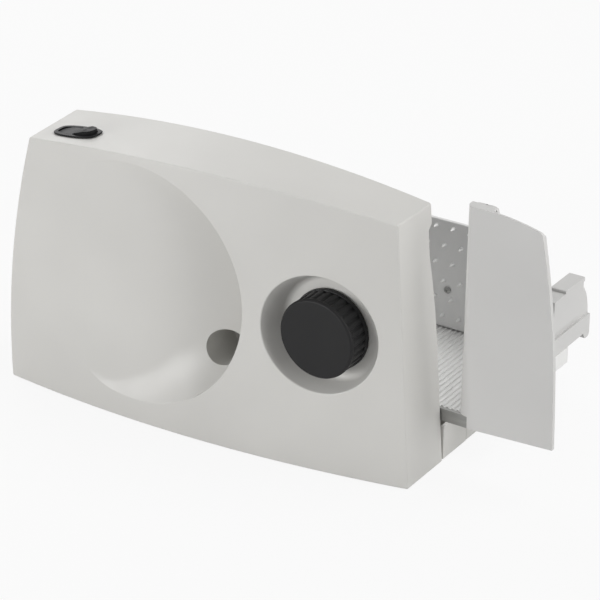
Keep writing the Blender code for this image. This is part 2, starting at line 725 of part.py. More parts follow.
def make_front_shell(body):
    """The moulded casing: one wall all over, open at the rear and below."""
    shell = put("front_shell", casing_block(0, FOOT_PROUD, 0, 0, casing_rear), "casing", body)
    bevel = shell.modifiers.new("edge_round", "BEVEL")
    bevel.width = CASING_EDGE_ROUND
    bevel.segments = 2
    bevel.limit_method = "ANGLE"
    bevel.angle_limit = BEVEL_ANGLE
    inside = casing_block(CASING_WALL, FOOT_PROUD - OVERRUN, CASING_WALL, CASING_WALL,
                          lambda z: REAR_DEPTH + OVERRUN)
    hollow = put("shell_hollow", inside, "casing", body)
    backs = [scoop_body(CASING_WALL), shift(dish_body(CASING_WALL), (KNOB_X, 0, KNOB_Z))]
    pocket_back = disc(POCKET_RADIUS + CASING_WALL, SCOOP_FRONT_Y, POCKET_FLOOR_Y + CASING_WALL, "Y")
    backs.append(shift(pocket_back, (POCKET_X, 0, POCKET_Z)))
    for x, z in cover_screw_places():
        post = disc(POST_RADIUS, SCOOP_FRONT_Y, COVER_FRONT_Y - SEAT_GAP, "Y", SMALL_SEGMENTS)
        backs.append(shift(post, (x, 0, z)))
    for count, back in enumerate(backs):
        combine(hollow, put(f"shell_back_{count}", back, "casing", body))
    combine(shell, hollow)
    combine(shell, put("scoop_cut", scoop_body(0), "casing", body))
    combine(shell, put("dish_cut", shift(dish_body(0), (KNOB_X, 0, KNOB_Z)), "casing", body))
    pocket = disc(POCKET_RADIUS, SCOOP_FRONT_Y, POCKET_FLOOR_Y, "Y")
    combine(shell, put("pocket_cut", shift(pocket, (POCKET_X, 0, POCKET_Z)), "casing", body))
    spindle_hole = disc(SPINDLE_BUSH_RADIUS + SEAT_GAP, DISH_FLOOR_Y - OVERRUN, DISH_FLOOR_Y + OVERRUN, "Y")
    combine(shell, put("spindle_hole", shift(spindle_hole, (KNOB_X, 0, KNOB_Z)), "casing", body))
    cord_hole = disc(GLAND_BORE_RADIUS, POCKET_FLOOR_Y - OVERRUN, POCKET_FLOOR_Y + OVERRUN, "Y",
                     SMALL_SEGMENTS)
    combine(shell, put("cord_hole", shift(cord_hole, (POCKET_X, 0, POCKET_Z)), "casing", body))
    opening = oval(SWITCH_HALF_LENGTH - SWITCH_BEZEL_WIDTH + SWITCH_SKIRT_WALL,
                   SWITCH_HALF_WIDTH - SWITCH_BEZEL_WIDTH + SWITCH_SKIRT_WALL)
    switch_hole = extruded(opening, -OVERRUN, OVERRUN, "Z")
    hole = put("switch_hole", switch_hole, "casing", body, (SWITCH_X, SWITCH_Y, casing_top(SWITCH_X)))
    hole.rotation_euler.y = -switch_slope()
    combine(shell, hole)
    for count, (x, z) in enumerate(cover_screw_places()):
        drill = disc(SCREW_HOLE_RADIUS, COVER_FRONT_Y - SCREW_SHANK_LENGTH, COVER_FRONT_Y + OVERRUN,
                     "Y", SMALL_SEGMENTS)
        combine(shell, put(f"post_drill_{count}", shift(drill, (x, 0, z)), "casing", body))


def make_rear_cover(body):
    """The flat cover behind the casing, with the blade's drum and the frame's posts."""
    cover = put("rear_cover", cover_block(), "cover", body)
    drum = disc(DRUM_RADIUS, COVER_FRONT_Y + SEAT_GAP, DRUM_REAR_Y, "Y")
    combine(cover, put("drum_boss", shift(drum, (BLADE_X, 0, BLADE_Z)), "cover", body), "UNION")
    for count, (x, z) in enumerate(frame_screw_places()):
        post = disc(FRAME_POST_RADIUS, FRAME_REAR_Y + SEAT_GAP, COVER_REAR_Y - SEAT_GAP, "Y", SMALL_SEGMENTS)
        combine(cover, put(f"frame_post_{count}", shift(post, (x, 0, z)), "cover", body), "UNION")
    shaft_hole = disc(BUSH_RADIUS + SEAT_GAP, COVER_FRONT_Y - OVERRUN, DRUM_REAR_Y + OVERRUN, "Y")
    combine(cover, put("shaft_hole", shift(shaft_hole, (BLADE_X, 0, BLADE_Z)), "cover", body))
    reach = STOP_WEB_WIDTH / 2 + ARM_SLOT_MARGIN
    slot = block((ROD_X - reach, COVER_FRONT_Y - OVERRUN, ARM_Z - ARM_SLOT_MARGIN),
                 (ROD_X + reach, COVER_REAR_Y + OVERRUN, ARM_Z + ARM_HEIGHT + ARM_SLOT_MARGIN))
    combine(cover, put("arm_slot", slot, "cover", body))
    for count, (x, z) in enumerate(cover_screw_places()):
        drill = disc(SCREW_HOLE_RADIUS, COVER_FRONT_Y - OVERRUN, COVER_REAR_Y + OVERRUN, "Y", SMALL_SEGMENTS)
        combine(cover, put(f"cover_drill_{count}", shift(drill, (x, 0, z)), "cover", body))
        put(f"cover_screw_{count + 1}", screw_body("Y"), "steel", body, (x, COVER_REAR_Y + SEAT_GAP, z))
    for count, (x, z) in enumerate(frame_screw_places()):
        drill = disc(SCREW_HOLE_RADIUS, FRAME_FRONT_Y - OVERRUN,
                     FRAME_FRONT_Y + SCREW_SHANK_LENGTH + FREE_GAP, "Y", SMALL_SEGMENTS)
        combine(cover, put(f"frame_post_drill_{count}", shift(drill, (x, 0, z)), "cover", body))


def make_gear_frame(body):
    """The plate in front of the gears, which carries the front bush and the pin."""
    frame = put("gear_frame", extruded(frame_outline(), FRAME_FRONT_Y, FRAME_REAR_Y, "Y"), "inner", body)
    holes = [
        (BUSH_RADIUS + SEAT_GAP, BLADE_X, BLADE_Z),
        (REDUCTION_PIN_RADIUS + SEAT_GAP, REDUCTION_X, REDUCTION_Z),
    ]
    for x, z in frame_screw_places():
        holes.append((SCREW_HOLE_RADIUS, x, z))
    for count, (radius, x, z) in enumerate(holes):
        drill = disc(radius, FRAME_FRONT_Y - OVERRUN, FRAME_REAR_Y + OVERRUN, "Y")
        combine(frame, put(f"frame_drill_{count}", shift(drill, (x, 0, z)), "inner", body))
    for count, (x, z) in enumerate(frame_screw_places()):
        head = (x, FRAME_FRONT_Y - SEAT_GAP, z)
        put(f"frame_screw_{count + 1}", screw_body("Y", True), "steel", body, head)


def frame_outline():
    """The gear frame's outline through its screws, the bush and the pin."""
    (left_x, top_z), (right_x, right_z), (_, low_z) = frame_screw_places()
    neck = BLADE_X - BUSH_RADIUS - FREE_GAP
    return [
        (left_x - FRAME_MARGIN, low_z - FRAME_MARGIN),
        (REDUCTION_X + FRAME_MARGIN, low_z - FRAME_MARGIN),
        (REDUCTION_X + 2 * FRAME_MARGIN, REDUCTION_Z + FRAME_MARGIN),
        (BLADE_X + BUSH_RADIUS + FRAME_MARGIN, BLADE_Z),
        (right_x + FRAME_MARGIN, right_z + FRAME_MARGIN),
        (left_x - FRAME_MARGIN, top_z + FRAME_MARGIN),
        (left_x - FRAME_MARGIN, top_z - FRAME_MARGIN),
        (neck, BLADE_Z + BUSH_RADIUS + 2 * FRAME_MARGIN),
        (neck, BLADE_Z - BUSH_RADIUS - 2 * FRAME_MARGIN),
        (left_x - FRAME_MARGIN, low_z + FRAME_MARGIN),
    ]


def make_blade_drive(body, blade, reduction, rotor, lock):
    """The blade, its shaft, hub, lock and gears, and the worm that turns them."""
    bush = BUSH_RADIUS
    bore = BLADE_SHAFT_RADIUS + RUNNING_GAP
    centre = (BLADE_X, 0, BLADE_Z)
    front_bush = ring(bore, bush, FRAME_FRONT_Y - SEAT_GAP, FRAME_FRONT_Y + BUSH_LENGTH, "Y")
    put("blade_bush_front", front_bush, "brass", body, centre)
    rear_bush = ring(bore, bush, COVER_FRONT_Y, DRUM_REAR_Y, "Y")
    put("blade_bush_rear", rear_bush, "brass", body, centre)
    shaft_rear = BLADE_SHAFT_REAR_Y - FREE_GAP
    put("blade_shaft", disc(BLADE_SHAFT_RADIUS, BLADE_SHAFT_FRONT_Y, shaft_rear, "Y"), "steel", blade, centre)
    hub_profile = [
        (BLADE_SHAFT_RADIUS + SEAT_GAP, HUB_FRONT_Y),
        (HUB_RADIUS, HUB_FRONT_Y),
        (HUB_RADIUS, HUB_FRONT_Y + HUB_FLANGE),
        (BLADE_BORE_RADIUS - SEAT_GAP, HUB_FRONT_Y + HUB_FLANGE),
        (BLADE_BORE_RADIUS - SEAT_GAP, BLADE_SHAFT_REAR_Y),
        (BLADE_SHAFT_RADIUS + SEAT_GAP, BLADE_SHAFT_REAR_Y),
    ]
    put("blade_hub", turned(hub_profile, ROUND_SEGMENTS, "Y", closed=True), "inner", blade, centre)
    put("cutting_blade", blade_body(), "blade", blade, centre)
    toward = math.atan2(REDUCTION_Z - BLADE_Z, REDUCTION_X - BLADE_X)
    gap_phase = toward + math.pi / BLADE_GEAR_TEETH
    gear_outline = toothed(BLADE_GEAR_TEETH, BLADE_GEAR_RADIUS, GEAR_MODULE, gap_phase)
    gear_rear = GEAR_FACE_FRONT_Y + GEAR_FACE
    gear = put("blade_gear", extruded(gear_outline, GEAR_FACE_FRONT_Y, gear_rear, "Y"), "gear", blade, centre)
    gear_bore = disc(BLADE_SHAFT_RADIUS + SEAT_GAP, 0, COVER_FRONT_Y, "Y")
    combine(gear, put("gear_bore", gear_bore, "gear", blade, centre))
    make_lock(lock)
    make_reduction(body, reduction, toward)
    make_motor(body, rotor)


def blade_body():
    """The dished blade with a wavy edge."""
    rim = BLADE_FLAT_Y + BLADE_THICKNESS + BLADE_DISH
    bevel_y = rim - BLADE_THICKNESS / 3
    profile = [
        (BLADE_BORE_RADIUS, BLADE_FLAT_Y),
        (BLADE_FLAT_RADIUS, BLADE_FLAT_Y),
        (BLADE_BEVEL_RADIUS, bevel_y - BLADE_THICKNESS),
        (BLADE_RADIUS, rim - BLADE_THICKNESS / 6),
        (BLADE_RADIUS, rim),
        (BLADE_BEVEL_RADIUS, bevel_y),
        (BLADE_FLAT_RADIUS, BLADE_FLAT_Y + BLADE_THICKNESS),
        (BLADE_BORE_RADIUS, BLADE_FLAT_Y + BLADE_THICKNESS),
    ]
    bm = turned(profile, 2 * BLADE_WAVES, "Y", closed=True)
    for vert in bm.verts:
        radius = math.hypot(vert.co.x, vert.co.z)
        step = round(math.atan2(vert.co.z, vert.co.x) * BLADE_WAVES / math.pi)
        if radius > (BLADE_BEVEL_RADIUS + BLADE_RADIUS) / 2 and step % 2:
            share = (radius - BLADE_WAVE) / radius
            vert.co.x *= share
            vert.co.z *= share
    return bm


def make_lock(lock):
    """The disc that holds the blade, with a finger grip across it."""
    centre = (BLADE_X, 0, BLADE_Z)
    rear = LOCK_FRONT_Y + LOCK_THICKNESS
    profile = [
        (0, LOCK_FRONT_Y),
        (LOCK_RADIUS, LOCK_FRONT_Y),
        (LOCK_RADIUS, rear - FREE_GAP),
        (LOCK_RADIUS - FREE_GAP, rear),
        (0, rear),
    ]
    disc_body = put("blade_lock", turned(profile, ROUND_SEGMENTS, "Y"), "dark", lock, centre)
    for side in (-1, 1):
        middle = side * (LOCK_GRIP_WIDTH / 2 + LOCK_RADIUS / 3)
        half = LOCK_RADIUS / 3
        grip = block((middle - half, rear - LOCK_GRIP_DEPTH, -LOCK_RADIUS * 2 / 3),
                     (middle + half, rear + OVERRUN, LOCK_RADIUS * 2 / 3))
        combine(disc_body, put(f"lock_grip_{side + 1}", grip, "dark", lock, centre))


def make_reduction(body, reduction, toward):
    """The worm wheel and pinion, moulded as one, on their pin."""
    centre = (REDUCTION_X, 0, REDUCTION_Z)
    phase = toward + math.pi
    pinion = toothed(PINION_TEETH, PINION_RADIUS, GEAR_MODULE, phase)
    wheel = toothed(WHEEL_TEETH, WHEEL_RADIUS, WHEEL_MODULE, phase)
    wheel_rear = WHEEL_FRONT_Y + WHEEL_WIDTH
    gear = put("reduction_gear", extruded(wheel, WHEEL_FRONT_Y, wheel_rear, "Y"), "gear", reduction, centre)
    neck = disc(PINION_RADIUS - 2 * GEAR_MODULE, wheel_rear - SEAT_GAP, GEAR_FACE_FRONT_Y + SEAT_GAP, "Y")
    combine(gear, put("reduction_neck", neck, "gear", reduction, centre), "UNION")
    pinion_rear = GEAR_FACE_FRONT_Y + GEAR_FACE
    pinion_body = extruded(pinion, GEAR_FACE_FRONT_Y, pinion_rear, "Y")
    combine(gear, put("reduction_pinion", pinion_body, "gear", reduction, centre), "UNION")
    bore = disc(REDUCTION_PIN_RADIUS + RUNNING_GAP, 0, COVER_FRONT_Y, "Y")
    combine(gear, put("reduction_bore", bore, "gear", reduction, centre))
    pin = disc(REDUCTION_PIN_RADIUS, FRAME_FRONT_Y, COVER_FRONT_Y - SEAT_GAP, "Y")
    put("reduction_pin", pin, "steel", body, centre)


def make_motor(body, rotor):
    """The motor, its shaft and worm, and the saddle and strap that hold it."""
    centre = (0, MOTOR_Y, MOTOR_Z)
    bore = MOTOR_SHAFT_RADIUS + RUNNING_GAP
    nose_x = MOTOR_LEFT_X - MOTOR_NOSE_LENGTH
    profile = [
        (0, MOTOR_LEFT_X + OVERRUN),
        (bore, MOTOR_LEFT_X + OVERRUN),
        (bore, nose_x),
        (MOTOR_NOSE_RADIUS, nose_x),
        (MOTOR_NOSE_RADIUS, MOTOR_LEFT_X),
        (MOTOR_RADIUS - MOTOR_EDGE_ROUND, MOTOR_LEFT_X),
        (MOTOR_RADIUS, MOTOR_LEFT_X + MOTOR_EDGE_ROUND),
        (MOTOR_RADIUS, MOTOR_RIGHT_X - MOTOR_EDGE_ROUND),
        (MOTOR_RADIUS - MOTOR_EDGE_ROUND, MOTOR_RIGHT_X),
        (0, MOTOR_RIGHT_X),
    ]
    put("motor", turned(profile, ROUND_SEGMENTS, "X"), "motor", body, centre)
    worm_start = REDUCTION_X - WORM_LENGTH / 2
    shaft_start = worm_start - FREE_GAP
    shaft = disc(MOTOR_SHAFT_RADIUS, shaft_start, MOTOR_LEFT_X + OVERRUN - SEAT_GAP, "X", SMALL_SEGMENTS)
    put("motor_shaft", shaft, "steel", rotor, centre)
    lead = math.pi * WHEEL_MODULE * WORM_STARTS
    worm_body = twisted(WORM_CORE_RADIUS, WORM_RADIUS, WORM_STARTS, lead, WORM_LENGTH,
                        WORM_STEPS_PER_TURN, "X")
    worm = put("worm", worm_body, "brass", rotor, (worm_start, MOTOR_Y, MOTOR_Z))
    worm_bore = disc(MOTOR_SHAFT_RADIUS + SEAT_GAP, worm_start - OVERRUN, MOTOR_LEFT_X, "X", SMALL_SEGMENTS)
    combine(worm, put("worm_bore", worm_bore, "brass", rotor, centre))
    middle = (MOTOR_LEFT_X + MOTOR_RIGHT_X) / 2
    seat = MOTOR_RADIUS + SEAT_GAP
    half = MOTOR_RADIUS - SADDLE_MARGIN
    saddle_block = block((middle - SADDLE_WIDTH / 2, MOTOR_Y - half, BASE_FLOOR_TOP_Z + SEAT_GAP),
                         (middle + SADDLE_WIDTH / 2, MOTOR_Y + half, MOTOR_Z - SADDLE_MARGIN))
    saddle = put("motor_saddle", saddle_block, "inner", body)
    cradle = disc(seat, middle - SADDLE_WIDTH, middle + SADDLE_WIDTH, "X")
    combine(saddle, put("saddle_cut", cradle, "inner", body, centre))
    strap_outer = seat + STRAP_THICKNESS
    strap_body = ring(seat, strap_outer, middle - STRAP_WIDTH / 2, middle + STRAP_WIDTH / 2, "X")
    strap = put("motor_strap", strap_body, "steel", body, centre)
    reach = 2 * strap_outer
    lower = block((middle - STRAP_WIDTH, MOTOR_Y - reach, MOTOR_Z - reach),
                  (middle + STRAP_WIDTH, MOTOR_Y + reach, MOTOR_Z - SADDLE_MARGIN + SEAT_GAP))
    combine(strap, put("strap_cut", lower, "steel", body))


def make_guard(body):
    """The ring segment round the blade where it doesn't cut."""
    inner = BLADE_RADIUS + GUARD_RADIAL_GAP
    outer = inner + GUARD_THICKNESS
    outline = []
    for radius, steps in ((outer, range(GUARD_SEGMENTS + 1)), (inner, range(GUARD_SEGMENTS, -1, -1))):
        for step in steps:
            angle = GUARD_START_ANGLE + (GUARD_END_ANGLE - GUARD_START_ANGLE) * step / GUARD_SEGMENTS
            outline.append((BLADE_X + radius * math.cos(angle), BLADE_Z + radius * math.sin(angle)))
    put("blade_guard", extruded(outline, COVER_REAR_Y + SEAT_GAP, GUARD_REAR_Y, "Y"), "cover", body)


def make_knob(body, knob):
    """The ribbed knob, its threaded spindle and the bush it turns in."""
    centre = (KNOB_X, 0, KNOB_Z)
    rib = math.pi / KNOB_RIBS
    outline = []
    for step in range(2 * KNOB_RIBS):
        radius = KNOB_RADIUS - (KNOB_RIB_HEIGHT if step % 2 else 0)
        outline.append((radius * math.cos(step * rib), radius * math.sin(step * rib)))
    skirt_front = KNOB_REAR_Y - KNOB_SKIRT_LENGTH
    ribbed = extruded(outline, KNOB_FRONT_Y, KNOB_REAR_Y - FREE_GAP, "Y")
    knob_body = put("thickness_knob", ribbed, "dark", knob, centre)
    skirt = disc(KNOB_SKIRT_RADIUS, skirt_front, KNOB_REAR_Y, "Y", 2 * KNOB_RIBS)
    combine(knob_body, put("knob_skirt", skirt, "dark", knob, centre), "UNION")
    bore = disc(SPINDLE_RADIUS + SEAT_GAP, KNOB_REAR_Y - KNOB_BORE_DEPTH, KNOB_REAR_Y + OVERRUN, "Y")
    combine(knob_body, put("knob_bore", bore, "dark", knob, centre))
    start = KNOB_REAR_Y - KNOB_BORE_DEPTH + SEAT_GAP
    length = COVER_FRONT_Y - SEAT_GAP - start
    plain = SPINDLE_BUSH_REAR_Y + SEAT_GAP - start
    spindle_body = twisted(SPINDLE_RADIUS, SPINDLE_THREAD_RADIUS, SPINDLE_STARTS, -SPINDLE_LEAD,
                           length, SPINDLE_STEPS_PER_TURN, "Y", plain)
    put("knob_spindle", spindle_body, "steel", knob, (KNOB_X, start, KNOB_Z))
    bush = ring(SPINDLE_RADIUS + RUNNING_GAP, SPINDLE_BUSH_RADIUS, DISH_FLOOR_Y - SEAT_GAP,
                SPINDLE_BUSH_REAR_Y, "Y")
    put("spindle_bush", bush, "brass", body, centre)


def make_stop(body, stop):
    """The stop plate with its arm, the slide that carries them and the rods."""
    rear = STOP_SLIDE_Y + STOP_SLIDE_THICKNESS
    nut_radius = SPINDLE_THREAD_RADIUS + RUNNING_GAP + STOP_NUT_WALL
    web_left = ROD_X - STOP_WEB_WIDTH / 2
    web_right = ROD_X + STOP_WEB_WIDTH / 2
    bar_low = KNOB_Z - STOP_BAR_HEIGHT / 2
    bar_high = KNOB_Z + STOP_BAR_HEIGHT / 2
    bar_left = KNOB_X + SPINDLE_RADIUS / 3
    outline = [(bar_left, bar_low), (web_left, bar_low), (web_left, ARM_Z), (web_right, ARM_Z),
               (web_right, bar_high), (bar_left, bar_high)]
    slide = put("stop_slide", extruded(outline, STOP_SLIDE_Y, rear, "Y"), "inner", stop)
    nut = disc(nut_radius, STOP_SLIDE_Y - FREE_GAP / 2, rear + FREE_GAP, "Y")
    combine(slide, put("stop_nut", shift(nut, (KNOB_X, 0, KNOB_Z)), "inner", stop), "UNION")
    foot = block((web_left + SEAT_GAP, rear - FREE_GAP, ARM_Z + SEAT_GAP),
                 (web_right - SEAT_GAP, ARM_Y - SEAT_GAP, ARM_Z + ARM_HEIGHT))
    combine(slide, put("stop_foot", foot, "inner", stop), "UNION")
    nut_bore = disc(SPINDLE_THREAD_RADIUS + RUNNING_GAP, STOP_SLIDE_Y - OVERRUN, rear + OVERRUN, "Y")
    combine(slide, put("nut_bore", shift(nut_bore, (KNOB_X, 0, KNOB_Z)), "inner", stop))
    for name, z in (("upper", UPPER_ROD_Z), ("lower", LOWER_ROD_Z)):
        bore = disc(ROD_RADIUS + RUNNING_GAP, STOP_SLIDE_Y - OVERRUN, rear + OVERRUN, "Y")
        combine(slide, put(f"{name}_rod_bore", shift(bore, (ROD_X, 0, z)), "inner", stop))
        rod = disc(ROD_RADIUS, ROD_FRONT_Y, COVER_FRONT_Y - SEAT_GAP, "Y")
        put(f"guide_rod_{name}", rod, "steel", body, (ROD_X, 0, z))
    make_arm(stop, web_left)
    make_stop_plate(stop)


def make_arm(stop, left):
    """The metal arm from the slide to the back of the stop plate."""
    top = ARM_Z + ARM_HEIGHT
    pad_left = PLATE_LEFT_X + PLATE_NOTCH_WIDTH + SEAT_GAP
    pad_low = PLATE_BOTTOM_Z + FREE_GAP
    outline = [
        (left, ARM_Z),
        (ARM_END_X, ARM_Z),
        (ARM_END_X, pad_low),
        (ARM_PAD_RIGHT_X, pad_low),
        (ARM_PAD_RIGHT_X, ARM_PAD_TOP_Z),
        (pad_left, ARM_PAD_TOP_Z),
        (pad_left, top),
        (left, top),
    ]
    arm = put("stop_arm", extruded(outline, ARM_Y, ARM_Y + ARM_THICKNESS, "Y"), "metal", stop)
    middle = ARM_Z + ARM_HEIGHT / 2
    pad_middle = (ARM_PAD_TOP_Z + PLATE_BOTTOM_Z) / 2
    places = [(ROD_X, middle), (ARM_PAD_RIGHT_X - 2 * SCREW_HEAD_RADIUS, pad_middle)]
    slide = bpy.data.objects["stop_slide"]
    for count, (x, z) in enumerate(places):
        drill = disc(SCREW_HOLE_RADIUS, ARM_Y - SCREW_SHANK_LENGTH / 2, ARM_Y + OVERRUN, "Y", SMALL_SEGMENTS)
        tool = put(f"arm_drill_{count}", shift(drill, (x, 0, z)), "metal", stop)
        combine(arm, tool)
        if count == 0:
            deep = disc(SCREW_HOLE_RADIUS, ARM_Y - SCREW_SHANK_LENGTH, ARM_Y, "Y", SMALL_SEGMENTS)
            combine(slide, put("foot_drill", shift(deep, (x, 0, z)), "inner", stop))
    put("slide_screw", screw_body("Y"), "steel", stop,
        (places[0][0], ARM_Y + ARM_THICKNESS + SEAT_GAP, places[0][1]))


def plate_outline():
    """The stop plate's outline: its top carries on the casing's arch."""
    outline = []
    for across, up in PLATE_RIGHT_EDGE_SHARES:
        outline.append((PLATE_LEFT_X + across * PLATE_WIDTH, PLATE_BOTTOM_Z + up * PLATE_HEIGHT))
    for across, up in PLATE_LEFT_EDGE_SHARES:
        outline.append((PLATE_LEFT_X + across * PLATE_WIDTH, PLATE_BOTTOM_Z + up * PLATE_HEIGHT))
    notch_top = PLATE_BOTTOM_Z + PLATE_NOTCH_HEIGHT
    outline.append((PLATE_LEFT_X, notch_top))
    outline.append((PLATE_LEFT_X + PLATE_NOTCH_WIDTH, notch_top))
    outline.append((PLATE_LEFT_X + PLATE_NOTCH_WIDTH, PLATE_BOTTOM_Z))
    return outline


def make_stop_plate(stop):
    """The stop plate: flat at the rear, thinner towards the right in front."""
    bm = extruded(plate_outline(), 0, 1, "Y")
    front = [vert for vert in bm.verts if vert.co.y < 0.5]
    rear = [vert for vert in bm.verts if vert.co.y > 0.5]
    for vert in front:
        across = (vert.co.x - PLATE_LEFT_X) / PLATE_WIDTH
        thickness = PLATE_LEFT_THICKNESS + across * (PLATE_RIGHT_THICKNESS - PLATE_LEFT_THICKNESS)
        vert.co.y = PLATE_REAR_Y - thickness
    for vert in rear:
        vert.co.y = PLATE_REAR_Y
    nose = [edge for edge in bm.edges if is_nose_edge(edge)]
    bmesh.ops.bevel(bm, geom=nose, offset=PLATE_NOSE_ROUND, segments=3, affect="EDGES", clamp_overlap=True)
    plate = put("stop_plate", bm, "panel", stop)
    drill = disc(SCREW_HOLE_RADIUS, PLATE_REAR_Y - SCREW_SHANK_LENGTH / 3, PLATE_REAR_Y + OVERRUN,
                 "Y", SMALL_SEGMENTS)
    pad_middle = (ARM_PAD_TOP_Z + PLATE_BOTTOM_Z) / 2
    x = ARM_PAD_RIGHT_X - 2 * SCREW_HEAD_RADIUS
    combine(plate, put("plate_drill", shift(drill, (x, 0, pad_middle)), "panel", stop))
    tab_left = PLATE_LEFT_X + PLATE_TAB_INSET
    tab_front = PLATE_REAR_Y + SEAT_GAP
    tab = block((tab_left, tab_front, PLATE_TOP_Z - PLATE_TAB_HEIGHT),
                (tab_left + PLATE_TAB_WIDTH, tab_front + PLATE_TAB_DEPTH, PLATE_TOP_Z - FREE_GAP),
                PLATE_EDGE_ROUND)
    put("stop_plate_grip", tab, "panel", stop)


def is_nose_edge(edge):
    """An upright edge at the plate's front left."""
    first, second = (vert.co for vert in edge.verts)
    upright = abs(first.z - second.z) > PLATE_NOTCH_HEIGHT
    in_front = max(first.y, second.y) < PLATE_REAR_Y - PLATE_RIGHT_THICKNESS
    at_left = max(first.x, second.x) < PLATE_LEFT_X + PLATE_NOTCH_WIDTH / 2
    return upright and in_front and at_left


def make_base_frame(body):
    """The floor under the casing with the channel that the blade dips into."""
    inset = CASING_WALL + COVER_FIT
    left = casing_left(BASE_UNDERSIDE_Z) + inset
    right = casing_right(BASE_FLOOR_TOP_Z) - inset
    front = []
    for step in range(CASING_X_STEPS // 2 + 1):
        x = left + (right - left) * step / (CASING_X_STEPS // 2)
        front.append((x, casing_front(x, BASE_FLOOR_TOP_Z) + inset))
    edge_y = REAR_DEPTH + SEAT_GAP
    outline = front + [
        (right, edge_y),
        (CASING_LENGTH, edge_y),
        (CASING_LENGTH, BASE_SPLIT_Y),
        (0, BASE_SPLIT_Y),
        (0, edge_y),
        (left, edge_y),
    ]
    frame = put("base_frame", extruded(outline, BASE_UNDERSIDE_Z, BASE_FLOOR_TOP_Z, "Z"), "casing", body)
    skirt = block((0, edge_y, BASE_UNDERSIDE_Z), (CASING_LENGTH, BASE_SPLIT_Y, BASE_SKIRT_Z))
    combine(frame, put("base_skirt", skirt, "casing", body), "UNION")
    channel = block((BASE_WALL, edge_y - OVERRUN, BASE_FLOOR_TOP_Z),
                    (CASING_LENGTH - BASE_WALL, BASE_SPLIT_Y - BASE_WALL, BASE_SKIRT_Z + OVERRUN))
    combine(frame, put("base_channel", channel, "casing", body))
    rear_drop = block((BASE_WALL, BASE_SPLIT_Y - OVERRUN, CARRIAGE_BASE_TOP_Z),
                      (CASING_LENGTH - BASE_WALL, BASE_SPLIT_Y + OVERRUN, BASE_SKIRT_Z + OVERRUN))
    combine(frame, put("base_rear_drop", rear_drop, "casing", body))
    for count, (x, y) in enumerate(front_foot_places()):
        combine(frame, put(f"foot_hole_{count}", foot_hole(x, y), "casing", body))


def front_foot_places():
    """The feet under the base frame."""
    return [(FOOT_INSET_X, FRONT_FOOT_Y), (CASING_LENGTH - FOOT_INSET_X, FRONT_FOOT_Y)]


def rear_foot_places():
    """The feet under the carriage base."""
    y = CARRIAGE_BASE_REAR_Y - FOOT_INSET_Y
    return [(CARRIAGE_BASE_LEFT_X + FOOT_INSET_X, y), (CASING_LENGTH - FOOT_INSET_X, y)]


def foot_hole(x, y):
    """The hole that a foot's stem sits in."""
    drill = disc(FOOT_STEM_RADIUS + SEAT_GAP, -OVERRUN, BASE_FLOOR_TOP_Z + OVERRUN, "Z", SMALL_SEGMENTS)
    return shift(drill, (x, y, 0))


def make_feet(body):
    """Four rubber feet with stems."""
    pad_top = BASE_UNDERSIDE_Z - SEAT_GAP
    stem_top = BASE_FLOOR_TOP_Z + SEAT_GAP
    profile = [
        (0, 0),
        (FOOT_RADIUS - FREE_GAP / 2, 0),
        (FOOT_RADIUS, FREE_GAP / 2),
        (FOOT_RADIUS, pad_top),
        (FOOT_STEM_RADIUS, pad_top),
        (FOOT_STEM_RADIUS, stem_top),
        (0, stem_top),
    ]
    for count, (x, y) in enumerate(front_foot_places() + rear_foot_places()):
        put(f"foot_{count + 1}", turned(profile, SMALL_SEGMENTS), "rubber", body, (x, y, 0))


def make_carriage_base(body):
    """The hollow base behind the casing that the carriage slides on."""
    low = (CARRIAGE_BASE_LEFT_X, BASE_SPLIT_Y + SEAT_GAP, BASE_UNDERSIDE_Z)
    high = (CASING_LENGTH, CARRIAGE_BASE_REAR_Y, CARRIAGE_BASE_TOP_Z)
    base = put("carriage_base", block(low, high, FREE_GAP), "casing", body)
    hollow = block((low[0] + BASE_WALL, low[1] + BASE_WALL, BASE_FLOOR_TOP_Z),
                   (high[0] - BASE_WALL, high[1] - BASE_WALL, high[2] - BASE_WALL))
    combine(base, put("carriage_base_hollow", hollow, "casing", body))
    slot = block((low[0] + RAIL_SLOT_MARGIN, RAIL_Y - RAIL_SLOT_WIDTH / 2, high[2] - BASE_WALL - FREE_GAP),
                 (high[0] - RAIL_SLOT_MARGIN / 2, RAIL_Y + RAIL_SLOT_WIDTH / 2, high[2] + OVERRUN))
    combine(base, put("rail_slot", slot, "casing", body))
    seats = ((low[0] + BASE_WALL - SEAT_GAP, low[0] + BASE_WALL + RAIL_BOSS_LENGTH),
             (high[0] - BASE_WALL - RAIL_BOSS_LENGTH, high[0] - BASE_WALL + SEAT_GAP))
    for count, (start, end) in enumerate(seats):
        boss = ring(RAIL_RADIUS + SEAT_GAP, RAIL_BOSS_RADIUS, start, end, "X")
        combine(base, put(f"rail_boss_{count}", shift(boss, (0, RAIL_Y, RAIL_Z)), "casing", body), "UNION")
    for count, (x, y) in enumerate(rear_foot_places()):
        combine(base, put(f"rear_foot_hole_{count}", foot_hole(x, y), "casing", body))
    rail = disc(RAIL_RADIUS, low[0] + BASE_WALL + SEAT_GAP, high[0] - BASE_WALL - SEAT_GAP, "X")
    put("carriage_rail", rail, "steel", body, (0, RAIL_Y, RAIL_Z))


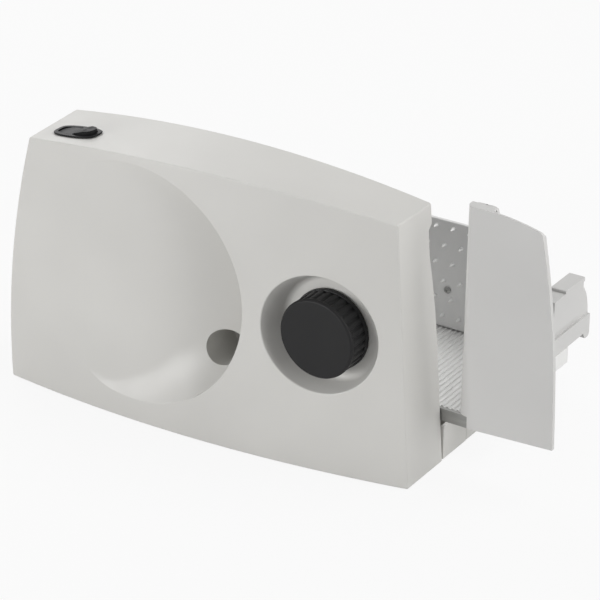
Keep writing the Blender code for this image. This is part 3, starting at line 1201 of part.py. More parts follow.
def tray_outline():
    """The carriage floor's section: ribs between a lip and a hollow sill."""
    floor = CARRIAGE_UNDERSIDE_Z + CARRIAGE_FLOOR
    sill_left = GUIDE_FOOT_LEFT_X + CARRIAGE_SILL_WALL
    sill_right = CARRIAGE_RIGHT_X - CARRIAGE_SILL_WALL
    outline = [
        (CARRIAGE_LEFT_X, CARRIAGE_UNDERSIDE_Z),
        (sill_left, CARRIAGE_UNDERSIDE_Z),
        (sill_left, CARRIAGE_LIP_Z - CARRIAGE_SILL_WALL),
        (sill_right, CARRIAGE_LIP_Z - CARRIAGE_SILL_WALL),
        (sill_right, CARRIAGE_UNDERSIDE_Z),
        (CARRIAGE_RIGHT_X, CARRIAGE_UNDERSIDE_Z),
        (CARRIAGE_RIGHT_X, CARRIAGE_LIP_Z),
        (GUIDE_FOOT_LEFT_X, CARRIAGE_LIP_Z),
        (GUIDE_FOOT_LEFT_X, floor),
    ]
    inner_left = CARRIAGE_LEFT_X + CARRIAGE_LIP
    space = GUIDE_FOOT_LEFT_X - inner_left
    ribs = int(space / RIB_PITCH)
    start = inner_left + (space - ribs * RIB_PITCH) / 2
    for rib in range(ribs - 1, -1, -1):
        middle = start + (rib + 0.5) * RIB_PITCH
        outline.append((middle + RIB_WIDTH / 2, floor))
        outline.append((middle + RIB_WIDTH / 4, floor + RIB_HEIGHT))
        outline.append((middle - RIB_WIDTH / 4, floor + RIB_HEIGHT))
        outline.append((middle - RIB_WIDTH / 2, floor))
    outline.append((inner_left, floor))
    outline.append((inner_left, CARRIAGE_LEFT_LIP_Z))
    outline.append((CARRIAGE_LEFT_X, CARRIAGE_LEFT_LIP_Z))
    return outline


def make_carriage(carriage):
    """The ribbed tray, its shoes on the rail and the wall on its sill."""
    floor = extruded(tray_outline(), CARRIAGE_NEAR_Y, CARRIAGE_REAR_Y, "Y")
    tray = put("carriage_tray", floor, "tray", carriage)
    wall = block((CARRIAGE_LEFT_X, TRAY_WALL_FRONT_Y, CARRIAGE_UNDERSIDE_Z),
                 (CARRIAGE_RIGHT_X, CARRIAGE_REAR_Y, CARRIAGE_LIP_Z))
    combine(tray, put("tray_wall", wall, "tray", carriage), "UNION")
    glide = block((CARRIAGE_LEFT_X + GLIDE_INSET, GLIDE_Y, CARRIAGE_BASE_TOP_Z + SEAT_GAP),
                  (CARRIAGE_RIGHT_X - GLIDE_INSET, GLIDE_Y + GLIDE_WIDTH, CARRIAGE_UNDERSIDE_Z + SEAT_GAP))
    combine(tray, put("tray_glide", glide, "tray", carriage), "UNION")
    for name, x in (("left", LEFT_SHOE_X), ("right", RIGHT_SHOE_X)):
        low = (x, RAIL_Y - SHOE_WIDTH / 2, SHOE_BOTTOM_Z)
        high = (x + SHOE_LENGTH, RAIL_Y + SHOE_WIDTH / 2, CARRIAGE_UNDERSIDE_Z - SEAT_GAP)
        shoe = put(f"carriage_shoe_{name}", block(low, high), "inner", carriage)
        bore = disc(RAIL_RADIUS + RUNNING_GAP, x - OVERRUN, x + SHOE_LENGTH + OVERRUN, "X")
        combine(shoe, put(f"shoe_bore_{name}", shift(bore, (0, RAIL_Y, RAIL_Z)), "inner", carriage))
    low = CARRIAGE_LIP_Z + SEAT_GAP
    ends = guide_points(((0.0, 0.0),) + GUIDE_TOE_SHARES)
    foot_outline = ends + [(GUIDE_REAR_Y, GUIDE_LEDGE_Z), (CARRIAGE_NEAR_Y, GUIDE_LEDGE_Z)]
    guide = put("carriage_wall", extruded(foot_outline, GUIDE_FOOT_LEFT_X, CARRIAGE_RIGHT_X, "X"), "panel", carriage)
    rail_outline = guide_points(GUIDE_NEAR_SHARES + GUIDE_REAR_SHARES)
    rail_outline += [(GUIDE_REAR_Y, low + SEAT_GAP), (CARRIAGE_NEAR_Y, low + SEAT_GAP)]
    upper = extruded(rail_outline, GUIDE_LEFT_X, GUIDE_RIGHT_X, "X")
    combine(guide, put("carriage_wall_top", upper, "panel", carriage), "UNION")


def guide_points(shares):
    """Points of the carriage wall's side view from shares of its length and height."""
    low = CARRIAGE_LIP_Z + SEAT_GAP
    length = GUIDE_REAR_Y - CARRIAGE_NEAR_Y
    height = GUIDE_TOP_Z - low
    points = []
    for along, up in shares:
        z = low + up * height if up >= 0 else low + up * (low - CARRIAGE_UNDERSIDE_Z)
        points.append((CARRIAGE_NEAR_Y + along * length, z))
    return points


def saddle_outline():
    """The holder's saddle from its end: two skirts over the carriage wall."""
    inner = GUIDE_LEFT_X - RUNNING_GAP
    outer = GUIDE_RIGHT_X + RUNNING_GAP
    roof = GUIDE_TOP_Z + RUNNING_GAP
    return [
        (SADDLE_LEFT_X, SADDLE_INNER_SKIRT_Z),
        (inner, SADDLE_INNER_SKIRT_Z),
        (inner, roof),
        (outer, roof),
        (outer, SADDLE_SKIRT_Z),
        (HOLDER_RIGHT_X, SADDLE_SKIRT_Z),
        (HOLDER_RIGHT_X, SADDLE_LOW_TOP_Z),
        (SADDLE_LEFT_X, SADDLE_LOW_TOP_Z),
    ]


def holder_outline():
    """The grip's section: a flat top flange over a D shape."""
    flange_low = HOLDER_TOP_Z - HOLDER_FLANGE
    depth = HOLDER_REAR_Y - HOLDER_FRONT_Y
    height = flange_low - HOLDER_BOTTOM_Z
    outline = [
        (HOLDER_FRONT_Y, HOLDER_BOTTOM_Z),
        (HOLDER_FRONT_Y, HOLDER_TOP_Z),
        (HOLDER_FLANGE_REAR_Y, HOLDER_TOP_Z),
        (HOLDER_FLANGE_REAR_Y, flange_low),
    ]
    for along, up in HOLDER_BACK_SHARES:
        outline.append((HOLDER_FRONT_Y + along * depth, HOLDER_BOTTOM_Z + up * height))
    return outline


def make_holder(holder):
    """The food holder: a spiked plate on a grip whose saddle rides on the wall."""
    plate_low = (SPIKE_PLATE_LEFT_X, SPIKE_PLATE_FRONT_Y, SPIKE_PLATE_BOTTOM_Z)
    plate_high = (SPIKE_PLATE_RIGHT_X, SPIKE_PLATE_REAR_Y, SPIKE_PLATE_TOP_Z)
    plate = put("spiked_plate", block(plate_low, plate_high, FREE_GAP), "spikes", holder)
    combine(plate, put("spikes", spike_bodies(), "spikes", holder), "UNION")
    bar_end = SADDLE_LEFT_X - FREE_GAP
    grip = put("holder_grip", extruded(holder_outline(), HOLDER_LEFT_X, bar_end, "X"), "panel", holder)
    wall = HOLDER_HOLLOW_WALL
    depth = HOLDER_REAR_Y - HOLDER_FRONT_Y
    height = HOLDER_TOP_Z - HOLDER_FLANGE - HOLDER_BOTTOM_Z
    recess_outline = []
    for along, up in HOLDER_RECESS_SHARES:
        recess_outline.append((HOLDER_FRONT_Y + wall + along * (depth - 2 * wall),
                               HOLDER_BOTTOM_Z + wall + up * (height - 2 * wall)))
    recess = extruded(recess_outline, HOLDER_LEFT_X - OVERRUN, HOLDER_LEFT_X + RECESS_DEPTH, "X")
    combine(grip, put("grip_recess", recess, "panel", holder))
    web = block((bar_end - FREE_GAP, HOLDER_FRONT_Y, SADDLE_INNER_SKIRT_Z),
                (SADDLE_LEFT_X + FREE_GAP, SADDLE_REAR_Y - FREE_GAP, HOLDER_TOP_Z - HOLDER_FLANGE))
    saddle = extruded(saddle_outline(), SADDLE_FRONT_Y, SADDLE_REAR_Y, "Y")
    cap = block((SADDLE_LEFT_X, SADDLE_CAP_FRONT_Y, GUIDE_TOP_Z + FREE_GAP),
                (HOLDER_RIGHT_X, SADDLE_CAP_REAR_Y, SADDLE_TOP_Z))
    for name, body in (("saddle", saddle), ("saddle_web", web), ("saddle_cap", cap)):
        combine(grip, put(name, body, "panel", holder), "UNION")
    middle_z = SPIKE_FIRST_Z + SPIKE_PITCH_Z * 3 / 2
    quarter = (SPIKE_PLATE_RIGHT_X - HOLDER_LEFT_X) / 4
    for count, x in enumerate((HOLDER_LEFT_X + quarter, SPIKE_PLATE_RIGHT_X - quarter)):
        x = spike_free_x(x)
        drill = disc(SCREW_HOLE_RADIUS, SPIKE_PLATE_FRONT_Y - OVERRUN,
                     SPIKE_PLATE_FRONT_Y + SCREW_SHANK_LENGTH + FREE_GAP, "Y", SMALL_SEGMENTS)
        tool = put(f"holder_drill_{count}", shift(drill, (x, 0, middle_z)), "spikes", holder)
        combine(plate, tool)
        combine(grip, tool)
        put(f"holder_screw_{count + 1}", screw_body("Y", True), "steel", holder,
            (x, SPIKE_PLATE_FRONT_Y - SEAT_GAP, middle_z))


def spike_free_x(x):
    """The nearest place midway between two spike columns."""
    half = SPIKE_PITCH_X / 2
    columns = math.floor((x - SPIKE_FIRST_X) / half)
    return SPIKE_FIRST_X + (columns + 0.5) * half


def spike_bodies():
    """All spikes, in staggered rows, each sunk a little into the plate."""
    bm = bmesh.new()
    forward = Matrix.Rotation(math.pi / 2, 3, "X")
    for row in range(SPIKE_ROWS):
        for column in range(SPIKE_COLUMNS):
            x = SPIKE_FIRST_X + column * SPIKE_PITCH_X + (SPIKE_PITCH_X / 2 if row % 2 == 0 else 0)
            z = SPIKE_FIRST_Z + row * SPIKE_PITCH_Z
            made = bmesh.ops.create_cone(bm, cap_ends=True, segments=SPIKE_SIDES, radius1=SPIKE_RADIUS,
                                         radius2=SPIKE_RADIUS / 5, depth=SPIKE_LENGTH)
            bmesh.ops.rotate(bm, verts=made["verts"], cent=(0, 0, 0), matrix=forward)
            y = SPIKE_PLATE_FRONT_Y - SPIKE_LENGTH / 2 + SEAT_GAP
            bmesh.ops.translate(bm, verts=made["verts"], vec=(x, y, z))
    return bm


def switch_slope():
    """The arch's slope where the switch sits."""
    return math.atan((ARCH_PEAK_X - SWITCH_X) / ARCH_RADIUS)


def make_switch(body, tilt, rocker_group):
    """The switch: bezel, body and rocker, square to the sloping top."""
    inner_length = SWITCH_HALF_LENGTH - SWITCH_BEZEL_WIDTH
    inner_width = SWITCH_HALF_WIDTH - SWITCH_BEZEL_WIDTH
    place = tilt["place"]
    outer = oval(SWITCH_HALF_LENGTH, SWITCH_HALF_WIDTH)
    bezel = put("switch_bezel", extruded(outer, SEAT_GAP, SWITCH_BEZEL_HEIGHT, "Z"), "dark", tilt, place)
    skirt_grow = SWITCH_SKIRT_WALL - SEAT_GAP
    skirt_outer = oval(inner_length + skirt_grow, inner_width + skirt_grow)
    skirt = extruded(skirt_outer, -SWITCH_SKIRT_DEPTH, SWITCH_BEZEL_HEIGHT / 2, "Z")
    combine(bezel, put("bezel_skirt", skirt, "dark", tilt, place), "UNION")
    through = extruded(oval(inner_length, inner_width), -OVERRUN, OVERRUN, "Z")
    combine(bezel, put("bezel_hole", through, "dark", tilt, place))
    top = -SWITCH_SKIRT_DEPTH - SEAT_GAP
    case = block((-SWITCH_BODY_LENGTH / 2, -SWITCH_BODY_WIDTH / 2, top - SWITCH_BODY_HEIGHT),
                 (SWITCH_BODY_LENGTH / 2, SWITCH_BODY_WIDTH / 2, top), FREE_GAP)
    put("switch_body", case, "inner", tilt, place)
    outline = [(-inner_length, -ROCKER_UNDERSIDE), (inner_length, -ROCKER_UNDERSIDE)]
    for along, up in ROCKER_TOP_SHARES:
        outline.append((along * inner_length, up * ROCKER_HIGH_END))
    half = inner_width
    rocker = put("switch_rocker", extruded(outline, -half, half, "Y"), "dark", rocker_group, place)
    plan = oval(inner_length - FREE_GAP / 2, inner_width - FREE_GAP / 2)
    trim = extruded(plan, -OVERRUN, OVERRUN, "Z")
    combine(rocker, put("rocker_trim", trim, "dark", rocker_group, place), "INTERSECT")


def make_gland(body):
    """The cord's inlet, a lipped ring at the bottom of the pocket."""
    rear = POCKET_FLOOR_Y - SEAT_GAP
    front = rear - GLAND_LENGTH
    profile = [
        (GLAND_BORE_RADIUS, front),
        (GLAND_RADIUS - GLAND_LIP, front),
        (GLAND_RADIUS - GLAND_LIP, rear - GLAND_LIP),
        (GLAND_RADIUS, rear - GLAND_LIP),
        (GLAND_RADIUS, rear),
        (GLAND_BORE_RADIUS, rear),
    ]
    inlet = turned(profile, SMALL_SEGMENTS, "Y", closed=True)
    put("cord_inlet", inlet, "dark", body, (POCKET_X, 0, POCKET_Z))


def clear_scene():
    """Start from an empty scene."""
    for obj in list(bpy.data.objects):
        bpy.data.objects.remove(obj, do_unlink=True)


def main():
    """Build the slicer."""
    origin = make_group("origin", (0, 0, 0))
    origin.location = (-CENTRE_X, -CENTRE_Y, 0)
    body = make_group("housing", (0, 0, 0), origin)
    blade = make_group("blade_axis", (BLADE_X, 0, BLADE_Z), origin)
    lock = make_group("lock_axis", (BLADE_X, LOCK_FRONT_Y, BLADE_Z), blade)
    reduction = make_group("reduction_axis", (REDUCTION_X, 0, REDUCTION_Z), origin)
    rotor = make_group("rotor_axis", (MOTOR_LEFT_X, MOTOR_Y, MOTOR_Z), origin)
    knob = make_group("knob_axis", (KNOB_X, 0, KNOB_Z), origin)
    stop = make_group("stop_carrier", (ROD_X, STOP_SLIDE_Y, KNOB_Z), origin)
    carriage = make_group("carriage", (CARRIAGE_RIGHT_X, RAIL_Y, RAIL_Z), origin)
    holder = make_group("holder", (HOLDER_RIGHT_X, SPIKE_PLATE_FRONT_Y, RIB_TOP_Z), carriage)
    switch_place = (SWITCH_X, SWITCH_Y, casing_top(SWITCH_X))
    tilt = make_group("switch_tilt", switch_place, origin)
    tilt.rotation_euler.y = -switch_slope()
    rocker = make_group("rocker_axis", switch_place, tilt)
    make_front_shell(body)
    make_rear_cover(body)
    make_gear_frame(body)
    make_blade_drive(body, blade, reduction, rotor, lock)
    make_guard(body)
    make_knob(body, knob)
    make_stop(body, stop)
    make_base_frame(body)
    make_carriage_base(body)
    make_feet(body)
    make_carriage(carriage)
    make_holder(holder)
    make_switch(body, tilt, rocker)
    make_gland(body)


clear_scene()
LOOKS = {
    "casing": make_material("casing_plastic", (0.62, 0.61, 0.59), 0.42),
    "cover": make_material("cover_plastic", (0.58, 0.58, 0.56), 0.45),
    "panel": make_material("panel_plastic", (0.58, 0.57, 0.56), 0.45),
    "tray": make_material("tray_plastic", (0.85, 0.85, 0.84), 0.40),
    "spikes": make_material("spike_plastic", (0.40, 0.40, 0.39), 0.50),
    "inner": make_material("inner_plastic", (0.25, 0.25, 0.26), 0.55),
    "gear": make_material("gear_nylon", (0.80, 0.78, 0.70), 0.50),
    "dark": make_material("black_plastic", (0.02, 0.02, 0.02), 0.35),
    "rubber": make_material("foot_rubber", (0.03, 0.03, 0.03), 0.80),
    "steel": make_material("bright_steel", (0.70, 0.70, 0.70), 0.30, 1.0),
    "blade": make_material("blade_steel", (0.78, 0.78, 0.78), 0.20, 1.0),
    "metal": make_material("arm_aluminium", (0.45, 0.45, 0.45), 0.40, 1.0),
    "brass": make_material("bearing_brass", (0.72, 0.55, 0.25), 0.35, 1.0),
    "motor": make_material("motor_steel", (0.50, 0.50, 0.52), 0.35, 1.0),
}
main()
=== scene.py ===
"""Finished looks for the electric food slicer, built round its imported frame.

Metres, +Z up. Pieces are shaped in the design frame, in which X runs along the
casing from its left side, Y runs from the casing's front to the carriage and Z
is the height over the table. Each finished piece is then moved to the frame
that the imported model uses.
"""

import math

import bpy
from bpy.props import FloatProperty, FloatVectorProperty, IntProperty, PointerProperty
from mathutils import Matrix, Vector


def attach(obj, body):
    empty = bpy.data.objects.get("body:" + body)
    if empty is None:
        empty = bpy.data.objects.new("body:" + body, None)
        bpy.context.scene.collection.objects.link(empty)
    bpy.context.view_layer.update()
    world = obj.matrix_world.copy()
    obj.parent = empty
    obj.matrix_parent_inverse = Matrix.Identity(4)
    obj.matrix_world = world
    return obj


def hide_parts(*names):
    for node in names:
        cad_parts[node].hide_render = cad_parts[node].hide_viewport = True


bl_info = {
    "name": "Food Slicer Looks",
    "version": (1, 0, 0),
    "blender": (4, 5, 0),
    "location": "View3D > Sidebar > Food Slicer",
    "description": "Builds the finished pieces, materials and stage of a food slicer",
    "category": "Object",
}

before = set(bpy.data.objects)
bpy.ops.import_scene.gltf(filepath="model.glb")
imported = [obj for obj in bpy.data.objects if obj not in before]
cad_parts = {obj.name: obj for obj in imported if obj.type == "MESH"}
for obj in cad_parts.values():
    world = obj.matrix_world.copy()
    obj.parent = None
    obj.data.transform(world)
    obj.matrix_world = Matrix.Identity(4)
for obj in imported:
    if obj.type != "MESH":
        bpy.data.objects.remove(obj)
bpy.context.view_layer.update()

# Where the design frame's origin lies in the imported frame
ORIGIN = Vector((-0.20145, -0.0997, 0))

# The gap between pieces, and how far cutting bodies reach past what they cut
GAP = 0.0003
FAR = 0.0100
FRONT_OF_ALL = -0.0400
NEAR_MERGE = 0.000002
SLIVER = 0.0002

# The casing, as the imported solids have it
LENGTH = 0.3200
HEIGHT = 0.1990
WALL = 0.0025
UNDERSIDE = 0.0006
REAR = 0.0555
REAR_TOP = 0.0505
WAIST = 0.0850
WAIST_RADIUS = 0.4450
ARCH_PEAK = 0.1630
ARCH_RADIUS = 0.9630
LEFT_WIDEST = 0.0300
LEFT_RADIUS = 0.5900
LEFT_FLARE = 0.0047
RIGHT_LEAN = 0.0130
FRONT_PEAK = 0.1087
FRONT_RADIUS = 0.9410
FRONT_PROUD = 0.0136
FRONT_LEAN = 0.0060
CAP_OVERHANG = 0.0042
CAP_START = 0.925

# The hollows in its front; each row of RAMPS has an angle in degrees and a length
SCOOP = (0.1120, 0.1040)
SCOOP_RADIUS = 0.0875
SCOOP_START = 0.0550
SCOOP_DEPTH = 0.0340
SCOOP_SKIM = 0.0004
SCOOP_FILLET = 0.0060
SCOOP_TOP_FILLET = 0.0180
RAMP_LEFT = -118
RAMP_RIGHT = -62
RAMP_FALL = 34
RAMP_POWER = 1.4
RAMPS = ((-180, 0.006), (-105, 0.006), (-90, 0.018), (-60, 0.033), (-33, 0.030), (180, 0.030))
DISH_FLOOR = 0.0150
DISH_FLOOR_RADIUS = 0.0375
DISH_FILLET = 0.0040
DISH_TURN = 71
DISH_SLOPE = 0.3950
DISH_LIP = 0.86
POCKET = (0.1735, 0.0645)
POCKET_RADIUS = 0.0125
POCKET_FLOOR = 0.0400

# The knob and the cord's ring; the points of a profile have a radius and a height
KNOB = (0.2576, 0.1013)
KNOB_RADIUS = 0.0279
KNOB_RIB = 0.0010
KNOB_REAR = 0.0142
KNOB_BODY = (-0.0042, 0.0132)
KNOB_BORE_FRONT = 0.0022
KNOB_FACE = ((0, -0.0060), (0.0264, -0.0060), (0.0271, -0.0058), (0.0279, -0.0050),
             (0.0281, -0.0045), (0.0281, -0.0036), (0.0278, -0.0032), (0, -0.0032))
KNOB_SKIRT = ((0, 0.0107), (0.0278, 0.0107), (0.0284, 0.0110), (0.0286, 0.0116),
              (0.0286, 0.0136), (0.0280, KNOB_REAR), (0, KNOB_REAR))
CORD_BORE = 0.0032
CORD_RING = ((CORD_BORE, 0.0036), (0.0036, 0.0040), (0.0054, 0.0040), (0.0058, 0.0036),
             (0.0058, 0.0012), (0.0067, 0.0011), (0.0070, 0.0008), (0.0070, 0), (CORD_BORE, 0))

# The switch; the rocker's top is in shares of its half length and its height
SWITCH = (0.0532, 0.0132)
SWITCH_SIZE = (0.0178, 0.0098)
SWITCH_FIT = 0.0010
BEZEL = 0.0028
ROCKER_LOW = -0.0016
ROCKER_HEIGHT = 0.0052
ROCKER_TOP = ((1.0, 0.74), (0.86, 0.93), (0.55, 0.74), (0.25, 0.52), (0.03, 0.36),
              (-0.03, 0.22), (-0.25, 0.24), (-0.6, 0.22), (-1.0, 0.10))
THUMB_RADIUS = 0.0150
THUMB_CENTRE = (0.0088, 0, 0.0178)

# Screws, their posts and holes
DRILL = 0.0016
POST_RADIUS = 0.0040
FRAME_POST_RADIUS = 0.0035
COVER_SCREWS = ((0.0224, 0.02985), (0.03072, 0.14925), (0.24992, 0.184075),
                (0.296, 0.16318), (0.30304, 0.015522))
FRAME_SCREWS = ((0.203008, 0.136912), (0.224, 0.139897), (0.203008, 0.057909))
SLIDE_SCREW = (0.3020, 0.03565)
PLATE_SCREW = (0.3664, 0.0570)
HOLDER_SCREWS = ((0.2522, 0.0617), (0.2930, 0.0617))
HOLDER_DRILL = (0.1645, 0.1835)
SCREW_LENGTH = 0.0080
SCREW_PROFILE = ((0, -SCREW_LENGTH), (0.0008, -SCREW_LENGTH), (0.0012, -0.0070), (0.0012, 0),
                 (0.0027, 0), (0.0028, 0.0002), (0.0027, 0.0006), (0.0022, 0.0010),
                 (0.0012, 0.0012), (0, 0.0012))

# The rear cover, the blade and what holds it
COVER_FRONT = 0.0475
COVER_REAR = 0.0500
COVER_FIT = 0.0005
ARM_SLOT_LOW = (0.2945, 0.0295)
ARM_SLOT_HIGH = (0.3095, 0.0418)
FRAME_FRONT = 0.0185
FRAME_REAR = 0.0210
DRUM_RADIUS = 0.0280
DRUM_REAR = 0.0615
BUSH_HOLE = 0.0083
SPINDLE_HOLE = 0.0086
SHAFT_BORE = 0.0053
BLADE = (0.2160, 0.0950)
BLADE_RADIUS = 0.0850
BLADE_BEVEL_RADIUS = 0.0760
BLADE_FLAT = 0.0646
BLADE_THICKNESS = 0.0012
BLADE_DISH = 0.0050
BLADE_WAVE = 0.0010
WAVE_START = 0.0822
LOCK_THICKNESS = 0.0035
LOCK_POCKET = (0.0030, 0.0140)
GUARD_OUTER = 0.0893
GUARD_INNER = 0.0865
GUARD_REAR = 0.0700
GUARD_START = 50
GUARD_SWEEP = 210

# The bases, the rail and the feet
BASE_LOW = 0.0018
BASE_FLOOR = 0.0048
BASE_SPLIT = 0.0865
SKIRT_TOP = 0.0270
CARRIAGE_BASE_LEFT = 0.0300
CARRIAGE_BASE_REAR = 0.1810
CARRIAGE_BASE_TOP = 0.0260
RAIL = (0.1130, 0.0170)
RAIL_RADIUS = 0.0040
SLOT_HALF = 0.0073
BOSS_RADII = (0.0043, 0.0068)
BOSS_LENGTH = 0.0050
FEET = ((0.022, 0.024), (0.298, 0.024), (0.052, 0.167), (0.298, 0.167))
FOOT_HOLE = 0.0028
FOOT_PROFILE = ((0, 0.0003), (0.0050, 0.0003), (0.0053, 0), (0.0071, 0), (0.0077, 0.0002),
                (0.0080, 0.0006), (0.0080, 0.0012), (0.0078, 0.0015), (0.0025, 0.0015),
                (0.0025, 0.0047), (0.0022, 0.0051), (0, 0.0051))

# The carriage; its wall's curves are in shares of the wall's length and of its height
TRAY_LEFT = 0.2060
TRAY_RIGHT = 0.3460
TRAY_NEAR = 0.0745
TRAY_REAR = 0.1815
TRAY_LOW = 0.0280
TRAY_FLOOR = 0.0300
TRAY_LIP = 0.0340
TRAY_LIP_WIDTH = 0.0030
TRAY_TOP = 0.0400
TRAY_WALL = 0.1790
RIB_PITCH = 0.0040
RIB_RADIUS = 0.0010
GLIDE = (0.1680, 0.1740)
GLIDE_INSET = 0.0060
SILL_LEFT = 0.3340
GUIDE_LEFT = 0.3366
GUIDE_RIGHT = 0.3440
GUIDE_TOP = 0.0815
GUIDE_REAR = 0.2130
GUIDE_LEDGE = 0.0534
WALL_TOE = ((0.935, 0.0), (0.948, -0.32), (0.962, -0.38), (0.985, -0.38), (0.999, -0.24),
            (1.0, 0.0))
WALL_NEAR_END = ((0.0, 0.24), (0.008, 0.38), (0.062, 0.72), (0.184, 1.0))
WALL_FAR_END = ((0.870, 1.0), (0.895, 0.993), (0.939, 0.88), (0.975, 0.70), (0.994, 0.48),
                (1.0, 0.26))

# The holder; its grip's curves are in shares of the grip's depth and of its height
SPIKED_FRONT = 0.1745
SPIKED_REAR = 0.1775
SPIKED_LOW = (0.2160, 0.0314)
SPIKED_HIGH = (0.3260, 0.1150)
SPIKE_FIRST = (0.2284, 0.0410)
SPIKE_PITCH = (0.0136, 0.0138)
SPIKE_SHIFT = 0.0068
SPIKE_PALE_START = 0.0004
SPIKE_PALE_FULL = 0.0016
SPIKE_PROFILE = ((0, 0.0002), (0.0017, 0.0002), (0.0015, -0.0002), (0.0010, -0.0016),
                 (0.0006, -0.0034), (0.0003, -0.0041), (0, -0.0043))
GRIP_LEFT = 0.2220
GRIP_REAR = 0.2035
GRIP_LOW = 0.0435
GRIP_TOP = 0.0700
GRIP_WALL = 0.0028
GRIP_RECESS = 0.0300
FLANGE_REAR = 0.2010
GRIP_OUTSIDE = ((0.40, 1.0), (0.52, 0.87), (0.72, 0.62), (0.86, 0.34), (0.90, 0.14), (0.80, 0.0))
GRIP_INSIDE = ((0.34, 1), (0.52, 0.82), (0.76, 0.52), (0.88, 0.2), (0.8, 0.0))
SADDLE_NEAR = 0.1580
SADDLE_REAR = 0.2006
SADDLE_LOW = 0.0568
SADDLE_TOP = 0.0838
SADDLE_CAP = ((0.1740, GUIDE_TOP + 0.0010), (0.2022, 0.0860))
SKIRT_LOW = 0.0590
SKIRT_CURVE = 0.0110

# The stop plate and its arm; the plate's edges are in shares of its height and width
PLATE_LEFT = 0.3345
PLATE_RIGHT = 0.4029
PLATE_LOW = 0.0360
PLATE_TOP = 0.1965
PLATE_REAR = 0.0557
PLATE_THICKNESS = 0.0085
PLATE_TAPER = 0.0055
PLATE_LIP = 0.0014
PLATE_LEFT_EDGE = ((0.0, 0.0), (0.09, 0.0), (0.38, 0.012), (1.0, 0.030))
PLATE_RIGHT_EDGE = ((0.0, 1.0), (0.29, 0.982), (0.49, 0.955), (0.715, 0.893), (0.95, 0.805))
NOSE_TOP = 0.0050
NOSE_SPREAD = 0.0060
NOSE_DEPTH = 0.0055
NOTCH = (0.0070, 0.0085)
CORNER_REACH = 0.0034
CORNER_PAST = 0.0120
TAB_EDGE = 0.0203
TAB_SIDES = (0.0022, 0.0202)
TAB_ENDS = (0.0260, 0.0010)
TAB_THICKNESS = 0.0030
ARM_FRONT = 0.0560
ARM_REAR = 0.0585
ARM_PAD_LEFT = PLATE_LEFT + NOTCH[0] + GAP
ARM_OUTLINE = ((0.2960, 0.0310), (0.3385, 0.0310), (0.3385, 0.0370), (0.3720, 0.0370),
               (0.3720, 0.0780), (ARM_PAD_LEFT, 0.0780), (ARM_PAD_LEFT, 0.0403),
               (0.2960, 0.0403))

# The camera, how white the surroundings look, and each lamp's place, width and strength
CAMERA_PLACE = (0.87155, -1.3637, 0.8781)
CAMERA_AIM = (-0.49171, 0.74763, -0.44640)
CAMERA_LENS = 156
SEEN_IN_REFLECTIONS = 0.45
SEEN_ON_FLOOR = 0.90
LAMP_AIM = Vector((0, 0, 0.08))
LAMPS = {
    "front_lamp": ((-0.9, -2.2, 0.12), 1.1, 1.5),
    "top_lamp": ((-1.6, 0.8, 1.4), 1.7, 0.66),
    "over_lamp": ((0.7, 0.45, 1.8), 0.9, 0.34),
    "right_lamp": ((1.9, 0.25, 0.85), 2.0, 0.9),
}

# The metals' relief and the fade at the blade's bevel, and the materials by name
METAL_RELIEF = 0.00002
EDGE_FADE = 0.0006
MATERIALS = {}


def casing_top(x):
    """Height of the arched top."""
    return HEIGHT - (x - ARCH_PEAK) ** 2 / (2 * ARCH_RADIUS)


def casing_left(z):
    """The bulging left side."""
    return (z - LEFT_WIDEST) ** 2 / (2 * LEFT_RADIUS)


def casing_flare(y, z):
    """How far the left side spreads outwards, high up and towards the rear."""
    rise = max(z - LEFT_WIDEST, 0) / (HEIGHT - LEFT_WIDEST)
    return LEFT_FLARE * rise ** 2 * max(y, 0) / REAR_TOP


def casing_right(z):
    """The right side, which leans in towards the top."""
    return LENGTH - RIGHT_LEAN * z / HEIGHT


def casing_front(x, z):
    """The front, a shallow arc in plan that leans back a little."""
    return (x - FRONT_PEAK) ** 2 / (2 * FRONT_RADIUS) - FRONT_PROUD + FRONT_LEAN * z / HEIGHT


def casing_rear(z):
    """The rear edge, which steps in above the waist."""
    return max(REAR - max(z - WAIST, 0) ** 2 / (2 * WAIST_RADIUS), REAR_TOP)


def switch_slope():
    """The arch's slope where the switch sits."""
    return math.atan((ARCH_PEAK - SWITCH[0]) / ARCH_RADIUS)


def switch_place():
    """Where the switch sits on the arch."""
    return *SWITCH, casing_top(SWITCH[0])


def ease(value):
    """Ease from 0 to 1."""
    share = min(max(value, 0), 1)
    return share * share * (3 - 2 * share)


def between(table, value):
    """Read a value between the rows of a table of pairs."""
    for (low, first), (high, second) in zip(table, table[1:]):
        if value <= high:
            return first + (second - first) * (value - low) / (high - low)
    return table[-1][1]


def flowing(points, steps):
    """Points of a smooth curve that goes through all the given ones."""
    ends = [points[0]] + list(points) + [points[-1]]
    curve = []
    for around in zip(ends, ends[1:], ends[2:], ends[3:]):
        for step in range(steps):
            t = step / steps
            curve.append(tuple(
                0.5 * (2 * b + (c - a) * t + (2 * a - 5 * b + 4 * c - d) * t * t
                       + (3 * b - a - 3 * c + d) * t ** 3)
                for a, b, c, d in zip(*around)))
    curve.append(tuple(points[-1]))
    return curve


def rectangle(low, high):
    """The corners of a rectangle between two of them."""
    return [low, (high[0], low[1]), high, (low[0], high[1])]


def rounded(outline, radius, steps, sharpest=20):
    """An outline with its sharp corners rounded."""
    result = []
    count = len(outline)
    for index in range(count):
        before, here, after = (Vector(outline[(index + shift) % count]) for shift in (-1, 0, 1))
        back = before - here
        ahead = after - here
        turn = math.pi - back.angle(ahead, math.pi)
        if math.degrees(turn) < sharpest:
            result.append(tuple(here))
            continue
        reach = min(radius * math.tan(turn / 2), back.length * 0.45, ahead.length * 0.45)
        start = here + back.normalized() * reach
        end = here + ahead.normalized() * reach
        for step in range(steps + 1):
            t = step / steps
            result.append(tuple(start * (1 - t) ** 2 + here * 2 * t * (1 - t) + end * t * t))
    return result


